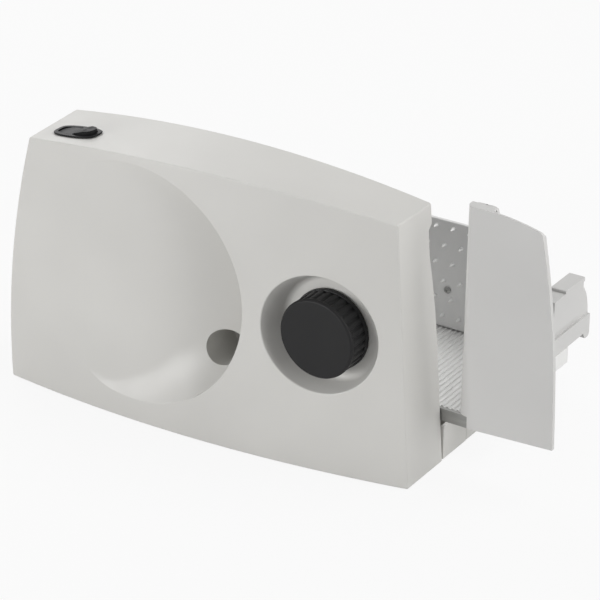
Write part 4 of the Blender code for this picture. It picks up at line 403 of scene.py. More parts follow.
def oval(half_length, half_width, count=72):
    """Points of an oval with fuller ends than an ellipse."""
    points = []
    for step in range(count):
        angle = 2 * math.pi * (step + 0.5) / count
        sine = math.sin(angle)
        points.append((half_length * math.cos(angle),
                       half_width * math.copysign(abs(sine) ** 0.5, sine)))
    return points


def round_about(centre, radius, angle):
    """The point at an angle round a centre."""
    return centre[0] + radius * math.cos(angle), centre[1] + radius * math.sin(angle)


def at(point, y=0):
    """A point of the front view as a place in space."""
    return point[0], y, point[1]


def pick(obj=None):
    """Leave edit mode and select only this object."""
    if bpy.context.object is not None and bpy.context.object.mode != "OBJECT":
        bpy.ops.object.mode_set(mode="OBJECT")
    bpy.ops.object.select_all(action="DESELECT")
    if obj is not None:
        obj.select_set(True)
        bpy.context.view_layer.objects.active = obj


def edit_all(obj):
    """Edit an object with all of its mesh selected."""
    pick(obj)
    bpy.ops.object.mode_set(mode="EDIT")
    bpy.ops.mesh.select_mode(type="VERT")
    bpy.ops.mesh.select_all(action="SELECT")


def close_up(obj):
    """Merge doubles, drop loose bits and turn the faces outwards."""
    edit_all(obj)
    bpy.ops.mesh.remove_doubles(threshold=NEAR_MERGE)
    bpy.ops.mesh.select_all(action="SELECT")
    bpy.ops.mesh.dissolve_degenerate(threshold=NEAR_MERGE)
    bpy.ops.mesh.delete_loose()
    bpy.ops.mesh.select_all(action="SELECT")
    bpy.ops.mesh.normals_make_consistent(inside=False)
    bpy.ops.object.mode_set(mode="OBJECT")
    return obj


def named(name):
    """The object that was just added, with its name."""
    obj = bpy.context.object
    obj.name = name
    obj.data.name = name
    return obj


def box(name, low, high):
    """A box between two corners."""
    low = Vector(low)
    high = Vector(high)
    pick()
    bpy.ops.mesh.primitive_cube_add(size=1, location=(low + high) / 2, scale=high - low)
    bpy.ops.object.transform_apply(location=True, rotation=True, scale=True)
    return named(name)


def prism(name, outline, start, end, axis):
    """An outline extruded along an axis; its points are the other two coordinates."""
    order = {"X": (2, 0, 1), "Y": (0, 2, 1), "Z": (0, 1, 2)}[axis]
    pick()
    bpy.ops.mesh.primitive_circle_add(vertices=len(outline), radius=1, fill_type="NGON")
    obj = named(name)
    for vert, point in zip(obj.data.vertices, outline):
        values = (point[0], point[1], start)
        vert.co = [values[index] for index in order]
    move = [(0, 0, end - start)[index] for index in order]
    edit_all(obj)
    bpy.ops.mesh.extrude_region_move(TRANSFORM_OT_translate={"value": move})
    return close_up(obj)


def spun(name, profile, segments, axis="Y", centre=(0, 0, 0)):
    """A closed profile of (radius, height) points spun round an axis."""
    centre = Vector(centre)
    along = {"X": Vector((1, 0, 0)), "Y": Vector((0, 1, 0)), "Z": Vector((0, 0, 1))}[axis]
    out = Vector((0, 0, 1)) if axis != "Z" else Vector((1, 0, 0))
    pick()
    bpy.ops.mesh.primitive_circle_add(vertices=len(profile), radius=1, fill_type="NOTHING")
    obj = named(name)
    for vert, (radius, height) in zip(obj.data.vertices, profile):
        vert.co = centre + out * radius + along * height
    edit_all(obj)
    bpy.ops.mesh.spin(steps=segments, dupli=False, angle=2 * math.pi, center=centre, axis=along)
    return close_up(obj)


def rod(name, radius, start, end, segments, axis, centre, round_off=0.0):
    """A round bar with its end edges taken off."""
    profile = [(0, start), (radius - round_off, start)]
    if round_off:
        part = round_off * 0.3
        profile += [(radius - part, start + part), (radius, start + round_off),
                    (radius, end - round_off), (radius - part, end - part)]
    profile += [(radius - round_off, end), (0, end)]
    return spun(name, profile, segments, axis, centre)


def slab(name, across_steps, up_steps, place):
    """A grid given a thickness, each point of which is then put in its place."""
    pick()
    bpy.ops.mesh.primitive_grid_add(x_subdivisions=across_steps, y_subdivisions=up_steps, size=1,
                                    location=(0.5, 0.5, 0))
    bpy.ops.object.transform_apply(location=True, rotation=True, scale=True)
    obj = named(name)
    edit_all(obj)
    bpy.ops.mesh.extrude_region_move(TRANSFORM_OT_translate={"value": (0, 0, 1)})
    bpy.ops.object.mode_set(mode="OBJECT")
    for vert in obj.data.vertices:
        vert.co = place(vert.co.x, vert.co.z, vert.co.y)
    return close_up(obj)


def bowl(name, centre, segments, profile_at):
    """A cutting body whose profile changes round its centre, open to the front."""
    count = len(profile_at(0))
    pick()
    bpy.ops.mesh.primitive_circle_add(vertices=count + 1, radius=1, fill_type="NOTHING")
    obj = named(name)
    for index, vert in enumerate(obj.data.vertices):
        vert.co = (index, 0, 0) if index < count else (0, -1, 0)
    edit_all(obj)
    bpy.ops.mesh.spin(steps=segments, dupli=False, angle=2 * math.pi, center=(0, 0, 0),
                      axis=(0, 1, 0))
    bpy.ops.object.mode_set(mode="OBJECT")
    for vert in obj.data.vertices:
        if vert.co.y < -0.5:
            vert.co = at(centre, FRONT_OF_ALL)
            continue
        index = int(round(math.hypot(vert.co.x, vert.co.z)))
        angle = math.atan2(vert.co.z, vert.co.x)
        radius, y = profile_at(angle)[index]
        vert.co = at(round_about(centre, radius, angle), y)
    return close_up(obj)


def bars(points, radius, start, end, segments=16):
    """Round bars along Y at points of the front view, to add or to cut with."""
    return [rod("bar", radius, start, end, segments, "Y", at(point)) for point in points]


def join_solids(target, *tools, operation="UNION"):
    """Unite, cut or intersect a solid with others, which are then removed."""
    for tool in tools:
        modifier = target.modifiers.new("solid", "BOOLEAN")
        modifier.operation = operation
        modifier.solver = "MANIFOLD"
        modifier.object = tool
        before = len(target.data.polygons), len(target.data.vertices)
        pick(target)
        bpy.ops.object.modifier_apply(modifier=modifier.name)
        if (len(target.data.polygons), len(target.data.vertices)) == before:
            raise RuntimeError(f"{tool.name} didn't change {target.name}")
        bpy.data.objects.remove(tool)


def cut(target, *tools):
    """Cut solids out of another."""
    join_solids(target, *tools, operation="DIFFERENCE")


def soften(obj, width, segments=3, angle=40, tidy=True):
    """Round the sharp edges."""
    if tidy:
        edit_all(obj)
        bpy.ops.mesh.dissolve_limited(angle_limit=math.radians(0.5))
        bpy.ops.object.mode_set(mode="OBJECT")
    pick(obj)
    modifier = obj.modifiers.new("round", "BEVEL")
    modifier.width = width
    modifier.segments = segments
    modifier.limit_method = "ANGLE"
    modifier.angle_limit = math.radians(angle)
    bpy.ops.object.modifier_apply(modifier=modifier.name)


def turn_to(obj, place, turn):
    """Turn a solid about Y and move it, and apply both."""
    pick(obj)
    obj.rotation_euler = (0, turn, 0)
    obj.location = place
    bpy.ops.object.transform_apply(location=True, rotation=True, scale=True)
    return obj


def copied(obj, name, move):
    """A copy with its own mesh, moved."""
    pick(obj)
    bpy.ops.object.duplicate(linked=False)
    copy = named(name)
    copy.location = move
    bpy.ops.object.transform_apply(location=True, rotation=True, scale=True)
    return copy


def finished(obj, body, slot, look, *nodes, angle=35):
    """Shade, place, paint and hand over a finished piece."""
    pick(obj)
    bpy.ops.object.shade_smooth_by_angle(angle=math.radians(angle))
    modifier = obj.modifiers.new("normals", "WEIGHTED_NORMAL")
    modifier.keep_sharp = True
    modifier.weight = 60
    bpy.ops.object.modifier_apply(modifier=modifier.name)
    obj.location = ORIGIN
    bpy.ops.object.transform_apply(location=True, rotation=True, scale=True)
    obj.data.materials.clear()
    obj.data.materials.append(MATERIALS[look])
    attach(obj, body)
    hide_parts(*nodes)


class Nodes:
    """Adds and joins nodes in one tree."""

    def __init__(self, tree):
        self.tree = tree

    def add(self, kind, inputs=None, **settings):
        """A node with its settings, and its inputs set or linked."""
        node = self.tree.nodes.new(kind)
        for name, value in settings.items():
            setattr(node, name, value)
        for name, value in (inputs or {}).items():
            self.feed(node.inputs[name], value)
        return node

    def feed(self, socket, value):
        """Link a socket, or set its value."""
        if isinstance(value, bpy.types.NodeSocket):
            self.tree.links.new(value, socket)
        else:
            socket.default_value = value

    def maths(self, operation, first, second=0.0):
        """A Math node's result."""
        node = self.tree.nodes.new("ShaderNodeMath")
        node.operation = operation
        self.feed(node.inputs[0], first)
        self.feed(node.inputs[1], second)
        return node.outputs[0]

    def spread(self, value, low, high, from_low=0.0, from_high=1.0):
        """A value mapped to a new range."""
        node = self.add("ShaderNodeMapRange", {"Value": value, "From Min": from_low,
                                               "From Max": from_high, "To Min": low,
                                               "To Max": high})
        return node.outputs["Result"]

    def place(self):
        """Where a point lies in the object's own space."""
        return self.add("ShaderNodeTexCoord").outputs["Object"]

    def noise(self, place, scale, detail, roughness=0.5):
        """A noise texture's value."""
        node = self.add("ShaderNodeTexNoise", {"Vector": place, "Scale": scale, "Detail": detail,
                                               "Roughness": roughness})
        return node.outputs["Fac"]

    def dented(self, shader, height, strength, distance):
        """A bump that feeds a shader's normal."""
        bump = self.add("ShaderNodeBump", {"Height": height, "Strength": strength,
                                           "Distance": distance})
        self.feed(shader.inputs["Normal"], bump.outputs["Normal"])

    def blend_colours(self, share, first, second):
        """Two colours mixed by a mask."""
        node = self.tree.nodes.new("ShaderNodeMix")
        node.data_type = "RGBA"
        self.feed(node.inputs["Factor"], share)
        self.feed(node.inputs[6], first)
        self.feed(node.inputs[7], second)
        return node.outputs[2]


def effect(name, inputs, outputs):
    """An empty node group with named sockets, and a way to feed its outputs."""
    group = bpy.data.node_groups.new(name, "ShaderNodeTree")
    for label, value in inputs.items():
        kind = "NodeSocketVector" if isinstance(value, tuple) else "NodeSocketFloat"
        socket = group.interface.new_socket(label, in_out="INPUT", socket_type=kind)
        socket.default_value = value
    for label in outputs:
        group.interface.new_socket(label, in_out="OUTPUT", socket_type="NodeSocketFloat")
    nodes = Nodes(group)
    given = nodes.add("NodeGroupInput")
    result = nodes.add("NodeGroupOutput")

    def give(*values):
        for label, value in zip(outputs, values):
            nodes.feed(result.inputs[label], value)
    return nodes, given.outputs, give


def make_moulding_effect():
    """Fine moulded grain with a slow drift of tone."""
    nodes, given, give = effect("moulded grain", {"Scale": 2500.0, "Drift": 9.0},
                                ("Height", "Tone", "Marks"))
    place = nodes.place()
    pits = nodes.add("ShaderNodeTexVoronoi", {"Vector": place, "Scale": given["Scale"]})
    height = nodes.maths("ADD", nodes.noise(place, given["Scale"], 3.0),
                         nodes.maths("MULTIPLY", pits.outputs["Distance"], 0.45))
    marks = nodes.spread(nodes.noise(place, 34.0, 4.0, 0.65), 0.0, 1.0, 0.42, 0.72)
    give(height, nodes.noise(place, given["Drift"], 2.0), marks)


def make_brushed_effect():
    """Fine drawn lines along one direction of the object's own space."""
    nodes, given, give = effect("drawn lines", {"Stretch": (1.0, 1.0, 1.0), "Scale": 600.0},
                                ("Lines", "Tone"))
    place = nodes.place()
    stretched = nodes.add("ShaderNodeVectorMath", {0: place, 1: given["Stretch"]},
                          operation="MULTIPLY")
    give(nodes.noise(stretched.outputs[0], given["Scale"], 4.0, 0.6),
         nodes.noise(place, 26.0, 2.0))


def make_ground_effect():
    """Circular grinding marks round an upright line through a centre."""
    nodes, given, give = effect("ground rings", {"Centre": (0.0, 0.0, 0.0), "Scale": 2200.0},
                                ("Rings", "Radius", "Tone"))
    place = nodes.place()
    from_centre = nodes.add("ShaderNodeVectorMath", {0: place, 1: given["Centre"]},
                            operation="SUBTRACT")
    parts = nodes.add("ShaderNodeSeparateXYZ", {"Vector": from_centre.outputs[0]}).outputs
    square = nodes.maths("ADD", nodes.maths("MULTIPLY", parts["X"], parts["X"]),
                         nodes.maths("MULTIPLY", parts["Z"], parts["Z"]))
    radius = nodes.maths("SQRT", square)
    turn = nodes.maths("ARCTAN2", parts["Z"], parts["X"])
    polar = nodes.add("ShaderNodeCombineXYZ",
                      {"X": nodes.maths("MULTIPLY", radius, given["Scale"]),
                       "Y": nodes.maths("MULTIPLY", turn, 1.4)})
    give(nodes.noise(polar.outputs[0], 1.0, 3.0), radius, nodes.noise(place, 30.0, 2.0))


def start_material(name):
    """A Principled material with nothing linked yet."""
    material = bpy.data.materials.new(name)
    material.use_nodes = True
    nodes = Nodes(material.node_tree)
    shader = material.node_tree.nodes["Principled BSDF"]
    MATERIALS[name] = material
    return nodes, shader


def group_node(nodes, name, **inputs):
    """The outputs of one of the shared effects, placed in a material."""
    node = nodes.add("ShaderNodeGroup", node_tree=bpy.data.node_groups[name])
    for label, value in inputs.items():
        nodes.feed(node.inputs[label.title()], value)
    return node.outputs


def paint(nodes, shader, colour, roughness, height, strength, relief):
    """Feed a shader's colour, its roughness and a bump."""
    nodes.feed(shader.inputs["Base Color"], colour)
    nodes.feed(shader.inputs["Roughness"], roughness)
    nodes.dented(shader, height, strength, relief)


def shaded(colour, share):
    """A colour made darker or lighter, with an alpha of one."""
    return (*(min(channel * share, 1.0) for channel in colour), 1.0)


def make_plastic(name, colour, roughness, grain=2500.0, relief=0.00003, drift=0.05, shine=0.5,
                 spike_colour=None):
    """Moulded plastic: fine grain, a drift of tone, faint handling marks, perhaps paler spikes."""
    nodes, shader = start_material(name)
    grains = group_node(nodes, "moulded grain", scale=grain)
    tone = nodes.spread(grains["Tone"], 0.0, 1.0, 0.3, 0.7)
    speckled = nodes.blend_colours(tone, shaded(colour, 1 - drift), shaded(colour, 1 + drift * 0.5))
    fine = nodes.spread(grains["Height"], 0.0, 0.16, 0.2, 1.2)
    base = nodes.blend_colours(fine, speckled, shaded(colour, 0.92))
    if spike_colour:
        depth = nodes.add("ShaderNodeSeparateXYZ", {"Vector": nodes.place()}).outputs["Y"]
        front = SPIKED_FRONT + ORIGIN.y
        spikes = nodes.spread(depth, 1.0, 0.0, front - SPIKE_PALE_FULL, front - SPIKE_PALE_START)
        base = nodes.blend_colours(spikes, base, shaded(spike_colour, 1.0))
    rough = nodes.spread(grains["Marks"], roughness, roughness + 0.09)
    shader.inputs["IOR"].default_value = 1.49
    shader.inputs["Specular IOR Level"].default_value = shine
    paint(nodes, shader, base, rough, grains["Height"], 0.35, relief)


def make_drawn_metal(name, colour, roughness, stretch, scale=900.0):
    """Metal with fine lines along one direction."""
    nodes, shader = start_material(name)
    lines = group_node(nodes, "drawn lines", stretch=stretch, scale=scale)
    light = nodes.spread(lines["Lines"], 0.0, 1.0, 0.3, 0.7)
    base = nodes.blend_colours(light, shaded(colour, 0.86), shaded(colour, 1.05))
    rough = nodes.spread(lines["Tone"], roughness - 0.05, roughness + 0.08)
    shader.inputs["Metallic"].default_value = 1.0
    paint(nodes, shader, base, rough, lines["Lines"], 0.3, METAL_RELIEF)


def make_ground_metal(name, colour, roughness, centre, edge_radius):
    """Metal with circular marks round a centre, brighter at a ground edge."""
    nodes, shader = start_material(name)
    middle = Vector(at(centre)) + ORIGIN
    rings = group_node(nodes, "ground rings", centre=(middle.x, 0, middle.z))
    light = nodes.spread(rings["Rings"], 0.0, 1.0, 0.3, 0.7)
    base = nodes.blend_colours(light, shaded(colour, 0.84), shaded(colour, 1.04))
    rough = nodes.spread(rings["Tone"], roughness - 0.04, roughness + 0.08)
    edge = nodes.spread(rings["Radius"], 0.0, 1.0, edge_radius - EDGE_FADE,
                        edge_radius + EDGE_FADE)
    base = nodes.blend_colours(edge, base, shaded(colour, 1.12))
    rough = nodes.maths("MULTIPLY", rough, nodes.spread(edge, 1.0, 0.62))
    shader.inputs["Metallic"].default_value = 1.0
    paint(nodes, shader, base, rough, rings["Rings"], 0.3, METAL_RELIEF)


def rounding(name, description, default, least, most):
    """A rounding that a user may change."""
    return FloatProperty(name=name, description=description, default=default, min=least, max=most,
                         unit="LENGTH")


class SlicerSizes(bpy.types.PropertyGroup):
    """Sizes of the finish that a user may change."""

    casing_round: rounding("Casing edges", "Rounding of the casing's outer edges",
                           0.0012, 0.0005, 0.003)
    rim_round: rounding("Hollow rims", "Rounding of the rims of the scoop and the dish",
                        0.0010, 0.0003, 0.002)
    base_round: rounding("Base edges", "Rounding of the bases' edges", 0.0009, 0.0003, 0.0012)
    plate_round: rounding("Plate edges", "Rounding of the stop plate's edges",
                          0.0007, 0.0002, 0.0012)
    holder_round: rounding("Holder edges", "Rounding of the holder's edges",
                           0.0009, 0.0003, 0.0012)
    knob_ribs: IntProperty(name="Knob ribs", description="Number of ribs round the knob",
                           default=30, min=12, max=60)
    blade_waves: IntProperty(name="Blade waves", default=36, min=12, max=72,
                             description="Number of waves round the blade's edge")
    lamp_strength: FloatProperty(name="Lamps", description="Strength that all the lamps follow",
                                 default=31.0, min=0.0, max=100.0, unit="POWER")
    sky_strength: FloatProperty(name="Sky", description="Strength of the even light from all sides",
                                default=0.26, min=0.0, max=2.0, subtype="FACTOR")


def colour_property(name, description, default):
    """A colour that a user may change."""
    return FloatVectorProperty(name=name, description=description, default=default, size=3,
                               min=0, max=1, subtype="COLOR")


class SlicerColours(bpy.types.PropertyGroup):
    """Colours of the finish that a user may change."""

    casing: colour_property("Casing", "The casing's and bases' grey plastic",
                            (0.64, 0.632, 0.607))
    panel: colour_property("Panels", "The stop plate's and holder's grey plastic",
                           (0.60, 0.596, 0.585))
    tray: colour_property("Tray", "The carriage floor's pale plastic", (0.79, 0.788, 0.775))
    plate: colour_property("Spiked plate", "The spiked plate's plastic", (0.74, 0.74, 0.73))
    spikes: colour_property("Spikes", "The spikes' paler tone", (0.86, 0.86, 0.85))
    black: colour_property("Black", "The knob's and switch's black plastic", (0.015, 0.015, 0.0155))
    inner: colour_property("Inner", "The plastic of the pieces inside", (0.12, 0.12, 0.125))
    nylon: colour_property("Gears", "The gears' nylon", (0.80, 0.78, 0.70))
    rubber: colour_property("Rubber", "The feet's rubber", (0.035, 0.035, 0.036))
    steel: colour_property("Steel", "Shafts, rods and screws", (0.62, 0.61, 0.60))
    blade: colour_property("Blade", "The blade's stainless steel", (0.70, 0.70, 0.71))
    arm: colour_property("Arm", "The stop plate's arm", (0.40, 0.40, 0.39))
    brass: colour_property("Brass", "Bushes and worm", (0.72, 0.52, 0.22))


class SLICER_OT_materials(bpy.types.Operator):
    """Make the shared effects and every material"""

    bl_idname = "slicer.materials"
    bl_label = "Materials"

    def execute(self, context):
        colours = context.scene.slicer_colours
        make_moulding_effect()
        make_brushed_effect()
        make_ground_effect()
        make_plastic("grey casing plastic", colours.casing, 0.40)
        make_plastic("grey panel plastic", colours.panel, 0.38)
        make_plastic("pale tray plastic", colours.tray, 0.36)
        make_plastic("spiked plate plastic", colours.plate, 0.42, spike_colour=colours.spikes)
        make_plastic("inner plastic", colours.inner, 0.5, 1800.0)
        make_plastic("gear nylon", colours.nylon, 0.42, 1600.0)
        make_plastic("matt black plastic", colours.black, 0.42, 2200.0, 0.00005, 0.12, 0.22)
        make_plastic("glossy black plastic", colours.black, 0.30, 2600.0, 0.000008, 0.1, 0.1)
        make_plastic("foot rubber", colours.rubber, 0.78, 1400.0, 0.00008, 0.2)
        make_drawn_metal("drawn steel", colours.steel, 0.30, (1.0, 0.03, 1.0))
        make_drawn_metal("motor steel", colours.steel, 0.42, (0.04, 1.0, 1.0), 500.0)
        make_drawn_metal("arm metal", colours.arm, 0.40, (0.03, 1.0, 1.0))
        make_drawn_metal("turned brass", colours.brass, 0.28, (1.0, 0.5, 1.0), 1200.0)
        make_ground_metal("ground blade steel", colours.blade, 0.22, BLADE, BLADE_BEVEL_RADIUS)
        return {"FINISHED"}


def scoop_profile(sizes, grow=0.0, rings=36, lip_steps=5):
    """The scoop's profile at an angle, with or without a rounded rim."""
    radius = SCOOP_RADIUS + grow

    def front_at(reach, angle):
        return casing_front(*round_about(SCOOP, reach, angle))

    def depth_at(reach, angle):
        degrees = math.degrees(angle)
        run = max(round_about(SCOOP, reach, angle)[0] - SCOOP_START, 0)
        full = SCOOP_DEPTH * (run / (SCOOP[0] + SCOOP_RADIUS - SCOOP_START)) ** 2
        ramp_part = 1 - ease(max(degrees - RAMP_RIGHT, RAMP_LEFT - degrees) / RAMP_FALL)
        above = max(math.sin(angle), 0) ** 4
        near = min((radius - reach) / (SCOOP_FILLET + SCOOP_TOP_FILLET * above), 1)
        fillet = 1 - (0.25 + 0.35 * above) * (1 - near) ** 2
        ramp = 1 - max(1 - (radius - reach) / between(RAMPS, degrees), 0) ** RAMP_POWER
        return full * (ramp_part * ramp + (1 - ramp_part) * fillet) - SCOOP_SKIM

    def profile_at(angle):
        points = []
        for ring in range(rings + 1):
            reach = radius * (1 - (1 - ring / rings) ** 1.7)
            points.append((reach, front_at(reach, angle) + depth_at(reach, angle) + grow))
        wall = depth_at(radius, angle)
        lip = min(sizes.rim_round, wall * 0.45) if not grow else 0
        for step in range(lip_steps):
            t = step / lip_steps
            out = radius + max(lip, 0) * t * t
            deep = lip * (1 - t) ** 2 if lip > 0 else min(wall, 0) - SLIVER * (step + 1)
            points.append((out, front_at(out, angle) + deep))
        out += 2 * SLIVER
        points.append((out, min(front_at(out, angle) - 2 * SLIVER, points[-1][1] - SLIVER)))
        points.append((out, FRONT_OF_ALL))
        return points
    return profile_at


def dish_profile(sizes, grow=0.0, lip_steps=6):
    """The knob dish's profile at an angle, with or without a rounded rim."""
    floor = DISH_FLOOR + grow
    floor_radius = DISH_FLOOR_RADIUS + grow
    flat = floor_radius - DISH_FILLET
    bend = 1.05 * DISH_FILLET
    wall = Vector((DISH_SLOPE, -1)).normalized()

    def profile_at(angle):
        points = [(0, floor), (floor_radius * 0.5, floor), (flat, floor)]
        for step in range(1, 6):
            turn = math.radians(DISH_TURN * step / 5)
            points.append((flat + bend * math.sin(turn), floor - bend * (1 - math.cos(turn))))
        start = Vector(points[-1])
        travel = 0.0
        for _ in range(12):
            spot = start + wall * travel
            travel += spot.y - casing_front(*round_about(KNOB, spot.x, angle))
        corner = start + wall * travel
        across = round_about(KNOB, corner.x, angle)[0] - FRONT_PEAK
        along = Vector((1, math.cos(angle) * across / FRONT_RADIUS)).normalized()
        lip = 0 if grow else 0.8 * sizes.rim_round
        for step in range(lip_steps):
            t = DISH_LIP * step / (lip_steps - 1)
            spot = corner - wall * lip * (1 - t) ** 2 + along * lip * t * t
            points.append((spot.x, spot.y))
        spot += (wall * (1 - DISH_LIP) + along * DISH_LIP).normalized() * 0.0009
        points.append((spot.x, spot.y - 0.0001))
        points.append((spot.x, FRONT_OF_ALL))
        return points
    return profile_at


def casing_place(inset, low, depths):
    """Where a slab's points lie inside the casing's outline, between two depths."""
    def place(across, deep, up):
        level = low + up * (HEIGHT - low)
        left = casing_left(level) + inset
        x = left + across * (casing_right(level) - inset - left)
        front, back = depths(x, low + up * (casing_top(x) - inset - low), up)
        y = front + deep * (back - front)
        x -= (1 - across) * casing_flare(y, level)
        return Vector((x, y, low + up * (casing_top(x) - inset - low)))
    return place


class SLICER_OT_casing(bpy.types.Operator):
    """Mould the arched casing with its scoop, knob dish, cord pocket and switch opening"""

    bl_idname = "slicer.casing"
    bl_label = "Casing"

    def execute(self, context):
        sizes = context.scene.slicer_sizes

        def outside(x, z, up):
            return casing_front(x, z), casing_rear(z) + (CAP_OVERHANG if up > CAP_START else 0)

        def inside(x, z, up):
            return casing_front(x, z) + WALL, REAR + FAR
        shell = slab("casing", 80, 54, casing_place(0, UNDERSIDE, outside))
        soften(shell, sizes.casing_round, 5, 50, tidy=False)
        hollow = slab("hollow", 16, 10, casing_place(WALL, UNDERSIDE - FAR, inside))
        cut(hollow,
            bowl("scoop_back", SCOOP, 48, scoop_profile(sizes, WALL, 10, 2)),
            bowl("dish_back", KNOB, 48, dish_profile(sizes, WALL, 2)),
            *bars([POCKET], POCKET_RADIUS + WALL, FRONT_OF_ALL, POCKET_FLOOR + WALL, 32),
            *bars(COVER_SCREWS, POST_RADIUS, FRONT_OF_ALL, COVER_FRONT - GAP, 20))
        cut(shell, hollow)
        cut(shell, bowl("scoop", SCOOP, 160, scoop_profile(sizes)))
        cut(shell, bowl("dish", KNOB, 128, dish_profile(sizes)))
        radius = POCKET_RADIUS
        floor = POCKET_FLOOR
        profile = [(0, FRONT_OF_ALL), (radius, FRONT_OF_ALL), (radius, floor - 0.0020),
                   (radius - 0.0005, floor - 0.0007), (radius - 0.0018, floor), (0, floor)]
        cut(shell, spun("pocket", profile, 64, "Y", at(POCKET)))
        cut(shell, *bars([KNOB], SPINDLE_HOLE, DISH_FLOOR - FAR, DISH_FLOOR + FAR, 40))
        cut(shell, *bars([POCKET], CORD_BORE, floor - FAR, floor + FAR, 24))
        outline = oval(*(size - BEZEL + SWITCH_FIT for size in SWITCH_SIZE), 64)
        opening = prism("switch_hole", outline, -FAR, FAR, "Z")
        cut(shell, turn_to(opening, switch_place(), -switch_slope()))
        cut(shell, *bars(COVER_SCREWS, DRILL, COVER_FRONT - SCREW_LENGTH, COVER_FRONT + FAR))
        finished(shell, "housing", "casing", "grey casing plastic", "front_shell", angle=32)
        return {"FINISHED"}


class SLICER_OT_rear_cover(bpy.types.Operator):
    """Mould the flat rear cover with its drum and posts"""

    bl_idname = "slicer.rear_cover"
    bl_label = "Rear Cover"

    def execute(self, context):
        place = casing_place(WALL + COVER_FIT, BASE_FLOOR + GAP,
                             lambda x, z, up: (COVER_FRONT, COVER_REAR))
        cover = slab("back_cover", 40, 20, place)
        front = COVER_FRONT + GAP
        radius = DRUM_RADIUS
        profile = [(0, front), (radius + 0.0005, front), (radius + 0.0005, COVER_REAR),
                   (radius, COVER_REAR + 0.0008), (radius, DRUM_REAR - 0.0012),
                   (radius - 0.0004, DRUM_REAR - 0.0004), (radius - 0.0012, DRUM_REAR),
                   (0, DRUM_REAR)]
        join_solids(cover, spun("drum", profile, 96, "Y", at(BLADE)))
        join_solids(cover, *bars(FRAME_SCREWS, FRAME_POST_RADIUS, FRAME_REAR + GAP,
                                 COVER_REAR - GAP, 20))
        cut(cover,
            *bars([BLADE], BUSH_HOLE, COVER_FRONT - FAR, DRUM_REAR + FAR, 48),
            box("arm_slot", at(ARM_SLOT_LOW, COVER_FRONT - FAR),
                at(ARM_SLOT_HIGH, COVER_REAR + FAR)),
            *bars(COVER_SCREWS, DRILL, COVER_FRONT - FAR, COVER_REAR + FAR),
            *bars(FRAME_SCREWS, DRILL, FRAME_FRONT - FAR, FRAME_FRONT + SCREW_LENGTH + 0.0010))
        finished(cover, "housing", "casing", "grey casing plastic", "rear_cover")
        return {"FINISHED"}


class SLICER_OT_knob(bpy.types.Operator):
    """Mould the ribbed thickness knob"""

    bl_idname = "slicer.knob"
    bl_label = "Knob"

    def execute(self, context):
        ribs = context.scene.slicer_sizes.knob_ribs
        steps = 8
        outline = []
        for step in range(ribs * steps):
            angle = 2 * math.pi * step / (ribs * steps)
            wave = 0.5 - 0.5 * math.cos(2 * math.pi * step / steps)
            radius = KNOB_RADIUS - KNOB_RIB * (1 - ease(wave * 1.6))
            outline.append(round_about(KNOB, radius, angle))
        knob = prism("knob", outline, *KNOB_BODY, "Y")
        join_solids(knob, spun("face", KNOB_FACE, 120, "Y", at(KNOB)))
        join_solids(knob, spun("skirt", KNOB_SKIRT, 120, "Y", at(KNOB)))
        cut(knob, *bars([KNOB], SHAFT_BORE, KNOB_BORE_FRONT, KNOB_REAR + FAR, 32))
        finished(knob, "knob", "black_plastic", "matt black plastic", "thickness_knob", angle=38)
        return {"FINISHED"}


class SLICER_OT_switch(bpy.types.Operator):
    """Mould the switch's bezel and its rocker with a raised, dished end"""

    bl_idname = "slicer.switch"
    bl_label = "Switch"

    def execute(self, context):
        long, wide = (size - BEZEL for size in SWITCH_SIZE)
        bezel = prism("bezel", oval(*SWITCH_SIZE), GAP, 0.0014, "Z")
        soften(bezel, 0.0006, 3, 50)
        join_solids(bezel, prism("skirt", oval(long + 0.0007, wide + 0.0007), -0.0055, 0.0007, "Z"))
        cut(bezel, prism("bezel_hole", oval(long, wide), -FAR, FAR, "Z"))
        soften(bezel, 0.0002, 2, 60)
        turn_to(bezel, switch_place(), -switch_slope())
        finished(bezel, "housing", "black_plastic", "glossy black plastic", "switch_bezel")
        outline = [(-long, ROCKER_LOW), (long, ROCKER_LOW)]
        outline += flowing([(along * long, up * ROCKER_HEIGHT) for along, up in ROCKER_TOP], 6)
        rocker = prism("rocker", outline, -wide, wide, "Y")
        plan = prism("rocker_plan", oval(long - 0.0005, wide - 0.0005), -FAR, FAR, "Z")
        join_solids(rocker, plan, operation="INTERSECT")
        pick()
        bpy.ops.mesh.primitive_uv_sphere_add(segments=64, ring_count=32, radius=THUMB_RADIUS,
                                             location=THUMB_CENTRE)
        bpy.ops.object.transform_apply(location=True, rotation=True, scale=True)
        cut(rocker, named("thumb_dish"))
        soften(rocker, 0.0005, 3, 50)
        turn_to(rocker, switch_place(), -switch_slope())
        finished(rocker, "rocker", "black_plastic", "glossy black plastic", "switch_rocker")
        return {"FINISHED"}


class SLICER_OT_cord_inlet(bpy.types.Operator):
    """Mould the lipped ring that the cord passes through"""

    bl_idname = "slicer.cord_inlet"
    bl_label = "Cord Inlet"

    def execute(self, context):
        profile = [(radius, POCKET_FLOOR - GAP - height) for radius, height in CORD_RING]
        inlet = spun("inlet", profile, 48, "Y", at(POCKET))
        finished(inlet, "housing", "black_plastic", "matt black plastic", "cord_inlet")
        return {"FINISHED"}


